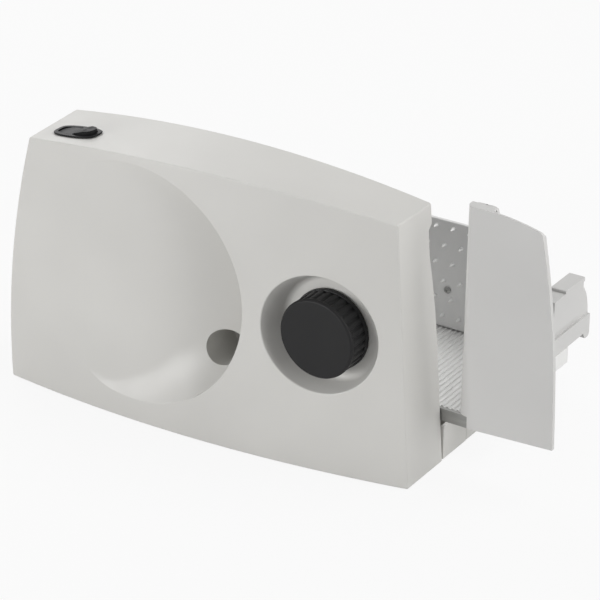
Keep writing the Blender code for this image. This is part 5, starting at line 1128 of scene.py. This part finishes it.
class SLICER_OT_stop(bpy.types.Operator):
    """Mould the stop plate and its tab, and cut its metal arm"""

    bl_idname = "slicer.stop"
    bl_label = "Stop Plate"

    def execute(self, context):
        self.make_plate(context.scene.slicer_sizes)
        self.make_tab()
        self.make_arm()
        return {"FINISHED"}

    def make_plate(self, sizes):
        width = PLATE_RIGHT - PLATE_LEFT
        height = PLATE_TOP - PLATE_LOW
        right_edge = flowing(PLATE_RIGHT_EDGE, 5) + [(1.0, 0.785)]

        def place(across, deep, up):
            spread = across ** 1.6
            level = up * (1 - 0.05 * spread ** 2.33)
            left = between(PLATE_LEFT_EDGE, level)
            x = PLATE_LEFT + width * (left + (between(right_edge, level) - left) * spread)
            thickness = PLATE_THICKNESS - PLATE_TAPER * (x - PLATE_LEFT) / width
            from_edge = x - (PLATE_LEFT + width * left)
            nose = NOSE_TOP + NOSE_SPREAD * (1 - level) ** 2
            if from_edge < nose:
                thickness -= NOSE_DEPTH * (1 - math.sqrt(max(1 - (1 - from_edge / nose) ** 2, 0)))
            y = PLATE_REAR - (1 - deep) * thickness
            if deep > 0.5 and x > PLATE_LEFT + TAB_EDGE:
                y = min(PLATE_REAR, PLATE_REAR - thickness + PLATE_LIP + 1.2 * (1 - up) * height)
            return Vector((x, y, PLATE_LOW + level * height))
        plate = slab("stop_panel", 40, 48, place)
        cut(plate, box("notch", (PLATE_LEFT - FAR, 0, PLATE_LOW - FAR),
                       (PLATE_LEFT + NOTCH[0], PLATE_REAR + FAR, PLATE_LOW + NOTCH[1])))
        level, share = PLATE_RIGHT_EDGE[-1]
        corner = Vector((PLATE_LEFT + share * width, PLATE_LOW + level * height))
        along = Vector((-0.943, 0.333)) * CORNER_REACH
        down = Vector((0.157, -0.987)) * CORNER_REACH
        out = Vector((CORNER_PAST, CORNER_PAST))
        arc = [corner + along * (1 - step / 6) ** 2 + down * (step / 6) ** 2 for step in range(7)]
        arc = [arc[0] + along * 0.2 + out * 0.01] + arc + [arc[-1] + down * 0.2 + out * 0.01]
        outline = [tuple(point) for point in arc + [arc[-1] + out, arc[0] + out]]
        cut(plate, prism("corner", outline, 0, PLATE_REAR + FAR, "Y"))
        cut(plate, *bars([PLATE_SCREW], DRILL, PLATE_REAR - 0.0027, PLATE_REAR + FAR))
        soften(plate, sizes.plate_round, 3, 38, tidy=False)
        finished(plate, "stop", "panel", "grey panel plastic", "stop_plate", angle=32)

    def make_tab(self):
        front = PLATE_REAR + GAP
        left, right = (PLATE_LEFT + reach for reach in TAB_SIDES)
        low, high = (PLATE_TOP - drop for drop in TAB_ENDS)
        outline = rounded(rectangle((left, low), (right, high)), 0.0040, 6)
        tab = prism("plate_tab", outline, front, front + TAB_THICKNESS, "Y")
        soften(tab, 0.0006, 3, 40, tidy=False)
        profile = [(0, high - 0.0030), (0.0008, high - 0.0030), (0.0008, high - 0.0008),
                   (0.0014, high + 0.0010), (0, high + 0.0010)]
        middle = ((left + right) / 2, front + TAB_THICKNESS / 2, 0)
        cut(tab, spun("tab_hole", profile, 24, "Z", middle))
        finished(tab, "stop", "panel", "grey panel plastic", "stop_plate_grip")

    def make_arm(self):
        arm = prism("stop_bracket", rounded(ARM_OUTLINE, 0.0012, 4), ARM_FRONT, ARM_REAR, "Y")
        cut(arm, *bars([SLIDE_SCREW, PLATE_SCREW], DRILL, ARM_FRONT - FAR, ARM_REAR + FAR, 20))
        soften(arm, 0.00035, 2, 40)
        finished(arm, "stop", "arm_metal", "arm metal", "stop_arm")


class SLICER_OT_guard(bpy.types.Operator):
    """Mould the ring segment round the blade"""

    bl_idname = "slicer.guard"
    bl_label = "Blade Guard"

    def execute(self, context):
        angles = [math.radians(GUARD_START + GUARD_SWEEP * step / 110) for step in range(111)]
        outline = [round_about(BLADE, GUARD_OUTER, angle) for angle in angles]
        outline += [round_about(BLADE, GUARD_INNER, angle) for angle in reversed(angles)]
        guard = prism("guard", outline, COVER_REAR + GAP, GUARD_REAR, "Y")
        soften(guard, 0.0007, 3, 40, tidy=False)
        finished(guard, "housing", "casing", "grey casing plastic", "blade_guard")
        return {"FINISHED"}


class SLICER_OT_blade(bpy.types.Operator):
    """Grind the dished blade with its wavy edge, and turn its hub and lock"""

    bl_idname = "slicer.blade"
    bl_label = "Blade"

    def execute(self, context):
        rear = BLADE_FLAT + BLADE_THICKNESS
        self.make_blade(context.scene.slicer_sizes.blade_waves, rear)
        front = DRUM_REAR + GAP
        profile = [(SHAFT_BORE, front), (0.0176, front), (0.0180, front + 0.0004),
                   (0.0180, front + 0.0021), (0.0176, front + 0.0025), (0.0097, front + 0.0025),
                   (0.0097, rear - 0.0003), (0.0094, rear), (SHAFT_BORE, rear)]
        hub = spun("hub", profile, 72, "Y", at(BLADE))
        finished(hub, "blade", "inner_plastic", "inner plastic", "blade_hub")
        self.make_lock(rear + GAP)
        return {"FINISHED"}

    def make_blade(self, waves, rear):
        rim = rear + BLADE_DISH
        profile = [(0.0100, BLADE_FLAT), (0.0395, BLADE_FLAT), (0.0415, BLADE_FLAT + 0.0002),
                   (BLADE_BEVEL_RADIUS, rim - 0.0016), (0.0830, rim - 0.0004),
                   (BLADE_RADIUS, rim - 0.0001), (BLADE_RADIUS, rim), (0.0835, rim - 0.00005),
                   (BLADE_BEVEL_RADIUS, rim - 0.0004), (0.0410, rear + 0.0001), (0.0390, rear),
                   (0.0100, rear)]
        blade = spun("blade_disc", profile, waves * 8, "Y", at(BLADE))
        for vert in blade.data.vertices:
            out = Vector((vert.co.x - BLADE[0], 0, vert.co.z - BLADE[1]))
            if out.length > WAVE_START:
                turn = math.atan2(out.z, out.x) * waves
                share = 1 - BLADE_WAVE * (0.5 - 0.5 * math.cos(turn)) / out.length
                vert.co.x = BLADE[0] + out.x * share
                vert.co.z = BLADE[1] + out.z * share
        finished(blade, "blade", "blade_steel", "ground blade steel", "cutting_blade", angle=25)

    def make_lock(self, seat):
        back = seat + LOCK_THICKNESS
        profile = [(0, seat), (0.0160, seat), (0.0165, seat + 0.0004), (0.0165, back - 0.0012),
                   (0.0162, back - 0.0005), (0.0154, back), (0, back)]
        lock = spun("lock", profile, 72, "Y", at(BLADE))
        for side in (-1, 1):
            near, far = sorted(BLADE[0] + side * reach for reach in LOCK_POCKET)
            grip = box("grip", (near, back - 0.0018, BLADE[1] - 0.0110),
                       (far, back + FAR, BLADE[1] + 0.0110))
            soften(grip, 0.0015, 4)
            cut(lock, grip)
        soften(lock, 0.0003, 2, 50, tidy=False)
        finished(lock, "lock", "black_plastic", "matt black plastic", "blade_lock")


def foot_drill(x, y):
    """The hole for a foot's stem."""
    return rod("foot_drill", FOOT_HOLE, -FAR, BASE_FLOOR + FAR, 20, "Z", (x, y, 0))


class SLICER_OT_bases(bpy.types.Operator):
    """Mould the base under the casing and the base behind it, with the rail"""

    bl_idname = "slicer.bases"
    bl_label = "Bases"

    def execute(self, context):
        sizes = context.scene.slicer_sizes
        self.make_front_base(sizes)
        low = Vector((CARRIAGE_BASE_LEFT, BASE_SPLIT + GAP, BASE_LOW))
        high = Vector((LENGTH, CARRIAGE_BASE_REAR, CARRIAGE_BASE_TOP))
        self.make_carriage_base(sizes, low, high)
        rail = rod("rail", RAIL_RADIUS, low.x + WALL + GAP, high.x - WALL - GAP, 40, "X",
                   (0, *RAIL), 0.0004)
        finished(rail, "housing", "steel", "motor steel", "carriage_rail")
        return {"FINISHED"}

    def make_front_base(self, sizes):
        inset = WALL + COVER_FIT
        left = casing_left(BASE_LOW) + inset
        right = casing_right(BASE_FLOOR) - inset
        outline = []
        for step in range(25):
            x = left + (right - left) * step / 24
            outline.append((x, casing_front(x, BASE_FLOOR) + inset))
        edge = REAR + GAP
        outline += [(right, edge), (LENGTH, edge), (LENGTH, BASE_SPLIT), (0, BASE_SPLIT),
                    (0, edge), (left, edge)]
        lower = prism("lower_frame", outline, BASE_LOW, BASE_FLOOR, "Z")
        join_solids(lower, box("skirt", (0, edge, BASE_LOW), (LENGTH, BASE_SPLIT, SKIRT_TOP)))
        cut(lower,
            box("channel", (WALL, edge - FAR, BASE_FLOOR),
                (LENGTH - WALL, BASE_SPLIT - WALL, SKIRT_TOP + FAR)),
            box("drop", (WALL, BASE_SPLIT - FAR, CARRIAGE_BASE_TOP),
                (LENGTH - WALL, BASE_SPLIT + FAR, SKIRT_TOP + FAR)))
        soften(lower, sizes.base_round, 3, 40)
        cut(lower, foot_drill(*FEET[0]), foot_drill(*FEET[1]))
        finished(lower, "housing", "casing", "grey casing plastic", "base_frame")

    def make_carriage_base(self, sizes, low, high):
        slide_base = box("slide_base", low, high)
        cut(slide_base,
            box("base_hollow", (low.x + WALL, low.y + WALL, BASE_FLOOR),
                (high.x - WALL, high.y - WALL, high.z - WALL)),
            box("slot", (low.x + 0.0110, RAIL[0] - SLOT_HALF, high.z - WALL - 0.0010),
                (high.x - 0.0055, RAIL[0] + SLOT_HALF, high.z + FAR)))
        soften(slide_base, sizes.base_round, 3, 40)
        for start, end in ((low.x + WALL - GAP, low.x + WALL + BOSS_LENGTH),
                           (high.x - WALL - BOSS_LENGTH, high.x - WALL + GAP)):
            profile = [(BOSS_RADII[0], start), (BOSS_RADII[1], start), (BOSS_RADII[1], end),
                       (BOSS_RADII[0], end)]
            join_solids(slide_base, spun("boss", profile, 40, "X", (0, *RAIL)))
        cut(slide_base, foot_drill(*FEET[2]), foot_drill(*FEET[3]))
        finished(slide_base, "housing", "casing", "grey casing plastic", "carriage_base")


class SLICER_OT_feet(bpy.types.Operator):
    """Mould one rubber foot and copy it to the four corners"""

    bl_idname = "slicer.feet"
    bl_label = "Feet"

    def execute(self, context):
        first = spun("foot", FOOT_PROFILE, 48, "Z")
        for count, (x, y) in enumerate(FEET):
            foot = copied(first, f"rubber_foot_{count + 1}", (x, y, 0))
            finished(foot, "housing", "rubber", "foot rubber", f"foot_{count + 1}")
        bpy.data.objects.remove(first)
        return {"FINISHED"}


def rounded_run(points, radius):
    """The inner corners of an open run of points, rounded."""
    steps = 4
    return rounded(points, radius, steps)[steps + 1:-steps - 1]


class SLICER_OT_carriage(bpy.types.Operator):
    """Mould the ribbed tray with its sill, and the wall that the holder rides on"""

    bl_idname = "slicer.carriage"
    bl_label = "Carriage"

    def execute(self, context):
        tray = prism("tray", self.tray_outline(), TRAY_NEAR, TRAY_REAR, "Y")
        wall = box("wall", (TRAY_LEFT, TRAY_WALL, TRAY_LOW), (TRAY_RIGHT, TRAY_REAR, TRAY_TOP))
        glide = box("glide", (TRAY_LEFT + GLIDE_INSET, GLIDE[0], CARRIAGE_BASE_TOP + GAP),
                    (TRAY_RIGHT - GLIDE_INSET, GLIDE[1], TRAY_LOW + GAP))
        join_solids(tray, wall, glide)
        finished(tray, "carriage", "tray", "pale tray plastic", "carriage_tray")
        self.make_wall(TRAY_TOP + GAP)
        return {"FINISHED"}

    def tray_outline(self):
        left = TRAY_LEFT + TRAY_LIP_WIDTH
        inner = SILL_LEFT + WALL
        outline = [(TRAY_LEFT, TRAY_LOW), (inner, TRAY_LOW), (inner, TRAY_TOP - WALL),
                   (TRAY_RIGHT - WALL, TRAY_TOP - WALL), (TRAY_RIGHT - WALL, TRAY_LOW),
                   (TRAY_RIGHT, TRAY_LOW)]
        outline += rounded_run([(TRAY_RIGHT, TRAY_LOW), (TRAY_RIGHT, TRAY_TOP),
                                (SILL_LEFT, TRAY_TOP), (SILL_LEFT, TRAY_FLOOR)], 0.0009)
        outline.append((SILL_LEFT, TRAY_FLOOR))
        ribs = int((SILL_LEFT - left) / RIB_PITCH)
        start = left + (SILL_LEFT - left - ribs * RIB_PITCH) / 2
        for rib in range(ribs - 1, -1, -1):
            middle = start + (rib + 0.5) * RIB_PITCH
            for step in range(9):
                angle = math.pi * step / 8
                rise = RIB_RADIUS * math.sin(angle) ** 0.7 if 0 < step < 8 else 0
                outline.append((middle + RIB_RADIUS * math.cos(angle), TRAY_FLOOR + rise))
        outline.append((left, TRAY_FLOOR))
        return outline + rounded_run([(left, TRAY_FLOOR), (left, TRAY_LIP), (TRAY_LEFT, TRAY_LIP),
                                      (TRAY_LEFT, TRAY_LOW)], 0.0009)

    def make_wall(self, low):
        def curve(shares, steps):
            points = []
            for along, up in shares:
                rise = GUIDE_TOP - low if up >= 0 else low - TRAY_LOW
                points.append((TRAY_NEAR + along * (GUIDE_REAR - TRAY_NEAR), low + up * rise))
            return flowing(points, steps)
        toe = curve(WALL_TOE, 4)
        foot = [(TRAY_NEAR, low)] + toe
        foot += rounded_run([toe[-1], (GUIDE_REAR, GUIDE_LEDGE), (TRAY_NEAR, GUIDE_LEDGE),
                             (TRAY_NEAR, low)], 0.0012)
        guide = prism("holder_wall", foot, SILL_LEFT, TRAY_RIGHT, "X")
        rail = curve(WALL_NEAR_END, 5) + curve(WALL_FAR_END, 5)
        rail += [(GUIDE_REAR - 0.0002, low + 0.0040), (TRAY_NEAR + 0.0002, low + 0.0040)]
        join_solids(guide, prism("holder_rail", rail, GUIDE_LEFT, GUIDE_RIGHT, "X"))
        soften(guide, 0.0007, 3, 40, tidy=False)
        finished(guide, "carriage", "panel", "grey panel plastic", "carriage_wall")


class SLICER_OT_holder(bpy.types.Operator):
    """Mould the spiked plate and the grip whose saddle rides on the carriage's wall"""

    bl_idname = "slicer.holder"
    bl_label = "Food Holder"

    def execute(self, context):
        self.make_spiked_plate()
        self.make_grip(context.scene.slicer_sizes)
        return {"FINISHED"}

    def make_spiked_plate(self):
        plate = box("spike_plate", at(SPIKED_LOW, SPIKED_FRONT), at(SPIKED_HIGH, SPIKED_REAR))
        soften(plate, 0.0009, 3)
        spike = spun("spike", SPIKE_PROFILE, 10)
        spikes = []
        for row in range(6):
            for column in range(7):
                x = SPIKE_FIRST[0] + column * SPIKE_PITCH[0] + (SPIKE_SHIFT if row % 2 == 0 else 0)
                z = SPIKE_FIRST[1] + row * SPIKE_PITCH[1]
                spikes.append(copied(spike, "spike_copy", (x, SPIKED_FRONT, z)))
        bpy.data.objects.remove(spike)
        pick()
        for obj in spikes:
            obj.select_set(True)
        bpy.context.view_layer.objects.active = spikes[0]
        bpy.ops.object.join()
        join_solids(plate, bpy.context.object)
        cut(plate, *bars(HOLDER_SCREWS, DRILL, *HOLDER_DRILL))
        finished(plate, "holder", "spikes", "spiked plate plastic", "spiked_plate")

    def make_grip(self, sizes):
        front = SPIKED_REAR + GAP
        low = GRIP_LOW
        end = SILL_LEFT - 0.0010
        flange = GRIP_TOP - GRIP_WALL
        depth = GRIP_REAR - front
        height = flange - low
        section = [(front, low), (front, GRIP_TOP), (FLANGE_REAR, GRIP_TOP), (FLANGE_REAR, flange)]
        section += [(front + along * depth, low + up * height)
                    for along, up in flowing(GRIP_OUTSIDE, 6)]
        grip = prism("grip_body", section, GRIP_LEFT, end, "X")
        depth -= 2 * GRIP_WALL
        height -= 2 * GRIP_WALL
        recess = [(front + GRIP_WALL + along * depth, low + GRIP_WALL + up * height)
                  for along, up in [(0, 0), (0, 1)] + flowing(GRIP_INSIDE, 6)]
        recess = rounded(recess, 0.0015, 3, 30)
        cut(grip, prism("recess", recess, GRIP_LEFT - FAR, GRIP_LEFT + GRIP_RECESS, "X"))
        join_solids(grip, box("web", (end - 0.0010, front, SADDLE_LOW),
                              (SILL_LEFT + 0.0010, SADDLE_REAR - 0.0010, flange)))
        join_solids(grip, self.make_saddle())
        soften(grip, sizes.holder_round, 3, 38, tidy=False)
        cut(grip, *bars(HOLDER_SCREWS, DRILL, *HOLDER_DRILL))
        finished(grip, "holder", "panel", "grey panel plastic", "holder_grip")

    def make_saddle(self):
        near, rear = SADDLE_NEAR, SADDLE_REAR
        side = rounded(rectangle((near, SADDLE_LOW), (rear, SADDLE_TOP)), 0.0012, 3)
        saddle = prism("saddle", side, SILL_LEFT, TRAY_RIGHT, "X")
        cap = rounded(rectangle(*SADDLE_CAP), 0.0010, 3)
        join_solids(saddle, prism("cap", cap, SILL_LEFT, TRAY_RIGHT, "X"))
        cut(saddle, box("groove", (GUIDE_LEFT - GAP, near - FAR, SADDLE_LOW - FAR),
                        (GUIDE_RIGHT + GAP, rear + FAR, GUIDE_TOP + GAP)))
        end = SKIRT_LOW + SKIRT_CURVE
        curve = [(rear + FAR, end), (rear + 0.0001, end)]
        for step in range(1, 9):
            angle = math.radians(90 * step / 8)
            curve.append((rear - 0.0070 * (1 - math.cos(angle)),
                          SKIRT_LOW + SKIRT_CURVE * (1 - math.sin(angle))))
        curve += [(near - FAR, SKIRT_LOW), (near - FAR, SADDLE_LOW - FAR),
                  (rear + FAR, SADDLE_LOW - FAR)]
        cut(saddle, prism("skirt_edge", curve, GUIDE_RIGHT - 0.0005, TRAY_RIGHT + FAR, "X"))
        return saddle


class SLICER_OT_screws(bpy.types.Operator):
    """Make one cross-head screw each way round and copy it to its places"""

    bl_idname = "slicer.screws"
    bl_label = "Screws"

    def execute(self, context):
        rear = self.make_screw("rear_screw", 1)
        front = self.make_screw("front_screw", -1)
        for screw, body, node, points, y in (
                (rear, "housing", "cover_screw_", COVER_SCREWS, COVER_REAR + GAP),
                (front, "housing", "frame_screw_", FRAME_SCREWS, FRAME_FRONT - GAP),
                (rear, "stop", "slide_screw", [SLIDE_SCREW], ARM_REAR + GAP),
                (front, "holder", "holder_screw_", HOLDER_SCREWS, SPIKED_FRONT - GAP)):
            look = "arm metal" if body == "holder" else "drawn steel"
            for count, point in enumerate(points):
                name = f"{node}{count + 1}" if len(points) > 1 else node
                finished(copied(screw, f"fitted_{name}", at(point, y)), body, "steel", look, name)
        bpy.data.objects.remove(rear)
        bpy.data.objects.remove(front)
        return {"FINISHED"}

    def make_screw(self, name, way):
        screw = spun(name, [(radius, way * height) for radius, height in SCREW_PROFILE], 28)
        low, high = sorted(way * height for height in (0.0005, 0.0030))
        for width, reach in ((0.0003, 0.0014), (0.0014, 0.0003)):
            cut(screw, box("cross", (-width, low, -reach), (width, high, reach)))
        return screw


INNER_LOOKS = {
    "inner plastic": ("gear_frame", "motor_saddle", "stop_slide", "switch_body",
                      "carriage_shoe_left", "carriage_shoe_right"),
    "gear nylon": ("blade_gear", "reduction_gear"),
    "drawn steel": ("blade_shaft", "reduction_pin", "knob_spindle", "guide_rod_upper",
                    "guide_rod_lower", "motor_strap"),
    "motor steel": ("motor", "motor_shaft"),
    "turned brass": ("blade_bush_front", "blade_bush_rear", "spindle_bush", "worm"),
}


class SLICER_OT_inner_pieces(bpy.types.Operator):
    """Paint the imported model's own pieces that stay"""

    bl_idname = "slicer.inner_pieces"
    bl_label = "Inner Pieces"

    def execute(self, context):
        for look, names in INNER_LOOKS.items():
            for name in names:
                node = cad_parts[name]
                if not node.material_slots:
                    node.data.materials.append(MATERIALS[look])
                for slot in node.material_slots:
                    slot.material = MATERIALS[look]
        return {"FINISHED"}


def seen_share(nodes):
    """How white the surroundings look: fully to the camera, partly in reflections."""
    rays = nodes.add("ShaderNodeLightPath")
    mirrored = nodes.maths("MULTIPLY", rays.outputs["Is Glossy Ray"], SEEN_IN_REFLECTIONS)
    straight = nodes.maths("MAXIMUM", rays.outputs["Is Camera Ray"],
                           rays.outputs["Is Transmission Ray"])
    return nodes.maths("MAXIMUM", straight, mirrored)


class SLICER_OT_stage(bpy.types.Operator):
    """Lay the floor and set the lamps, the sky and the camera"""

    bl_idname = "slicer.stage"
    bl_label = "Stage"

    def execute(self, context):
        scene = context.scene
        sizes = scene.slicer_sizes
        scene.view_settings.view_transform = "Standard"
        self.make_floor()
        self.make_sky(scene, sizes.sky_strength)
        for name, (place, size, share) in LAMPS.items():
            self.make_lamp(name, place, size, sizes.lamp_strength * share)
        camera_data = bpy.data.cameras.new("view")
        camera_data.lens = CAMERA_LENS
        camera_data.sensor_width = 36
        camera_data.clip_start = 0.05
        camera_data.clip_end = 50
        camera = bpy.data.objects.new("view", camera_data)
        scene.collection.objects.link(camera)
        camera.location = CAMERA_PLACE
        camera.rotation_euler = Vector(CAMERA_AIM).to_track_quat("-Z", "Y").to_euler()
        scene.camera = camera
        return {"FINISHED"}

    def make_floor(self):
        pick()
        bpy.ops.mesh.primitive_circle_add(vertices=96, radius=4, fill_type="NGON",
                                          location=(0, 0, -0.0001))
        floor = named("floor")
        material = bpy.data.materials.new("floor paper")
        material.use_nodes = True
        tree = material.node_tree
        nodes = Nodes(tree)
        tree.nodes.remove(tree.nodes["Principled BSDF"])
        fibres = nodes.noise(nodes.place(), 300.0, 3.0)
        paper = nodes.blend_colours(fibres, (0.62, 0.62, 0.62, 1), (0.65, 0.65, 0.65, 1))
        matt = nodes.add("ShaderNodeBsdfDiffuse", {"Color": paper})
        bright = nodes.add("ShaderNodeEmission", {"Color": (1, 1, 1, 1), "Strength": 1.0})
        seen = nodes.maths("MULTIPLY", seen_share(nodes), SEEN_ON_FLOOR)
        mix = nodes.add("ShaderNodeMixShader", {0: seen, 1: matt.outputs[0], 2: bright.outputs[0]})
        tree.links.new(mix.outputs[0], tree.nodes["Material Output"].inputs["Surface"])
        floor.data.materials.append(material)

    def make_sky(self, scene, strength):
        world = bpy.data.worlds.new("sky")
        scene.world = world
        world.use_nodes = True
        tree = world.node_tree
        nodes = Nodes(tree)
        even = tree.nodes["Background"]
        even.inputs["Color"].default_value = (1, 1, 1, 1)
        even.inputs["Strength"].default_value = strength
        white = nodes.add("ShaderNodeBackground", {"Color": (1, 1, 1, 1), "Strength": 1.0})
        mix = nodes.add("ShaderNodeMixShader", {0: seen_share(nodes), 1: even.outputs[0],
                                                2: white.outputs[0]})
        tree.links.new(mix.outputs[0], tree.nodes["World Output"].inputs["Surface"])

    def make_lamp(self, name, place, size, strength):
        pick()
        bpy.ops.object.light_add(type="AREA", location=place)
        lamp = bpy.context.object
        lamp.name = name
        lamp.data.size = size
        lamp.data.energy = strength
        toward = LAMP_AIM - Vector(place)
        lamp.rotation_euler = toward.to_track_quat("-Z", "Y").to_euler()


OPERATORS = (
    SLICER_OT_materials,
    SLICER_OT_stage,
    SLICER_OT_casing,
    SLICER_OT_rear_cover,
    SLICER_OT_knob,
    SLICER_OT_switch,
    SLICER_OT_cord_inlet,
    SLICER_OT_stop,
    SLICER_OT_guard,
    SLICER_OT_blade,
    SLICER_OT_bases,
    SLICER_OT_feet,
    SLICER_OT_carriage,
    SLICER_OT_holder,
    SLICER_OT_screws,
    SLICER_OT_inner_pieces,
)


class SLICER_PT_panel(bpy.types.Panel):
    """The slicer's sizes, colours and steps in the sidebar"""

    bl_idname = "SLICER_PT_panel"
    bl_label = "Food Slicer"
    bl_space_type = "VIEW_3D"
    bl_region_type = "UI"
    bl_category = "Food Slicer"

    def draw(self, context):
        layout = self.layout
        for group in (context.scene.slicer_sizes, context.scene.slicer_colours):
            column = layout.column(align=True)
            for name in group.__annotations__:
                column.prop(group, name)
        for operator in OPERATORS:
            layout.operator(operator.bl_idname)


CLASSES = (SlicerSizes, SlicerColours) + OPERATORS + (SLICER_PT_panel,)


def register():
    """Register the classes and hang the settings on the scene."""
    for item in CLASSES:
        bpy.utils.register_class(item)
    bpy.types.Scene.slicer_sizes = PointerProperty(type=SlicerSizes)
    bpy.types.Scene.slicer_colours = PointerProperty(type=SlicerColours)


def unregister():
    """Undo what register did."""
    del bpy.types.Scene.slicer_colours
    del bpy.types.Scene.slicer_sizes
    for item in reversed(CLASSES):
        bpy.utils.unregister_class(item)


def main():
    """Build every piece in order."""
    register()
    for operator in OPERATORS:
        group, name = operator.bl_idname.split(".")
        getattr(getattr(bpy.ops, group), name)()


if __name__ == "__main__":
    main()
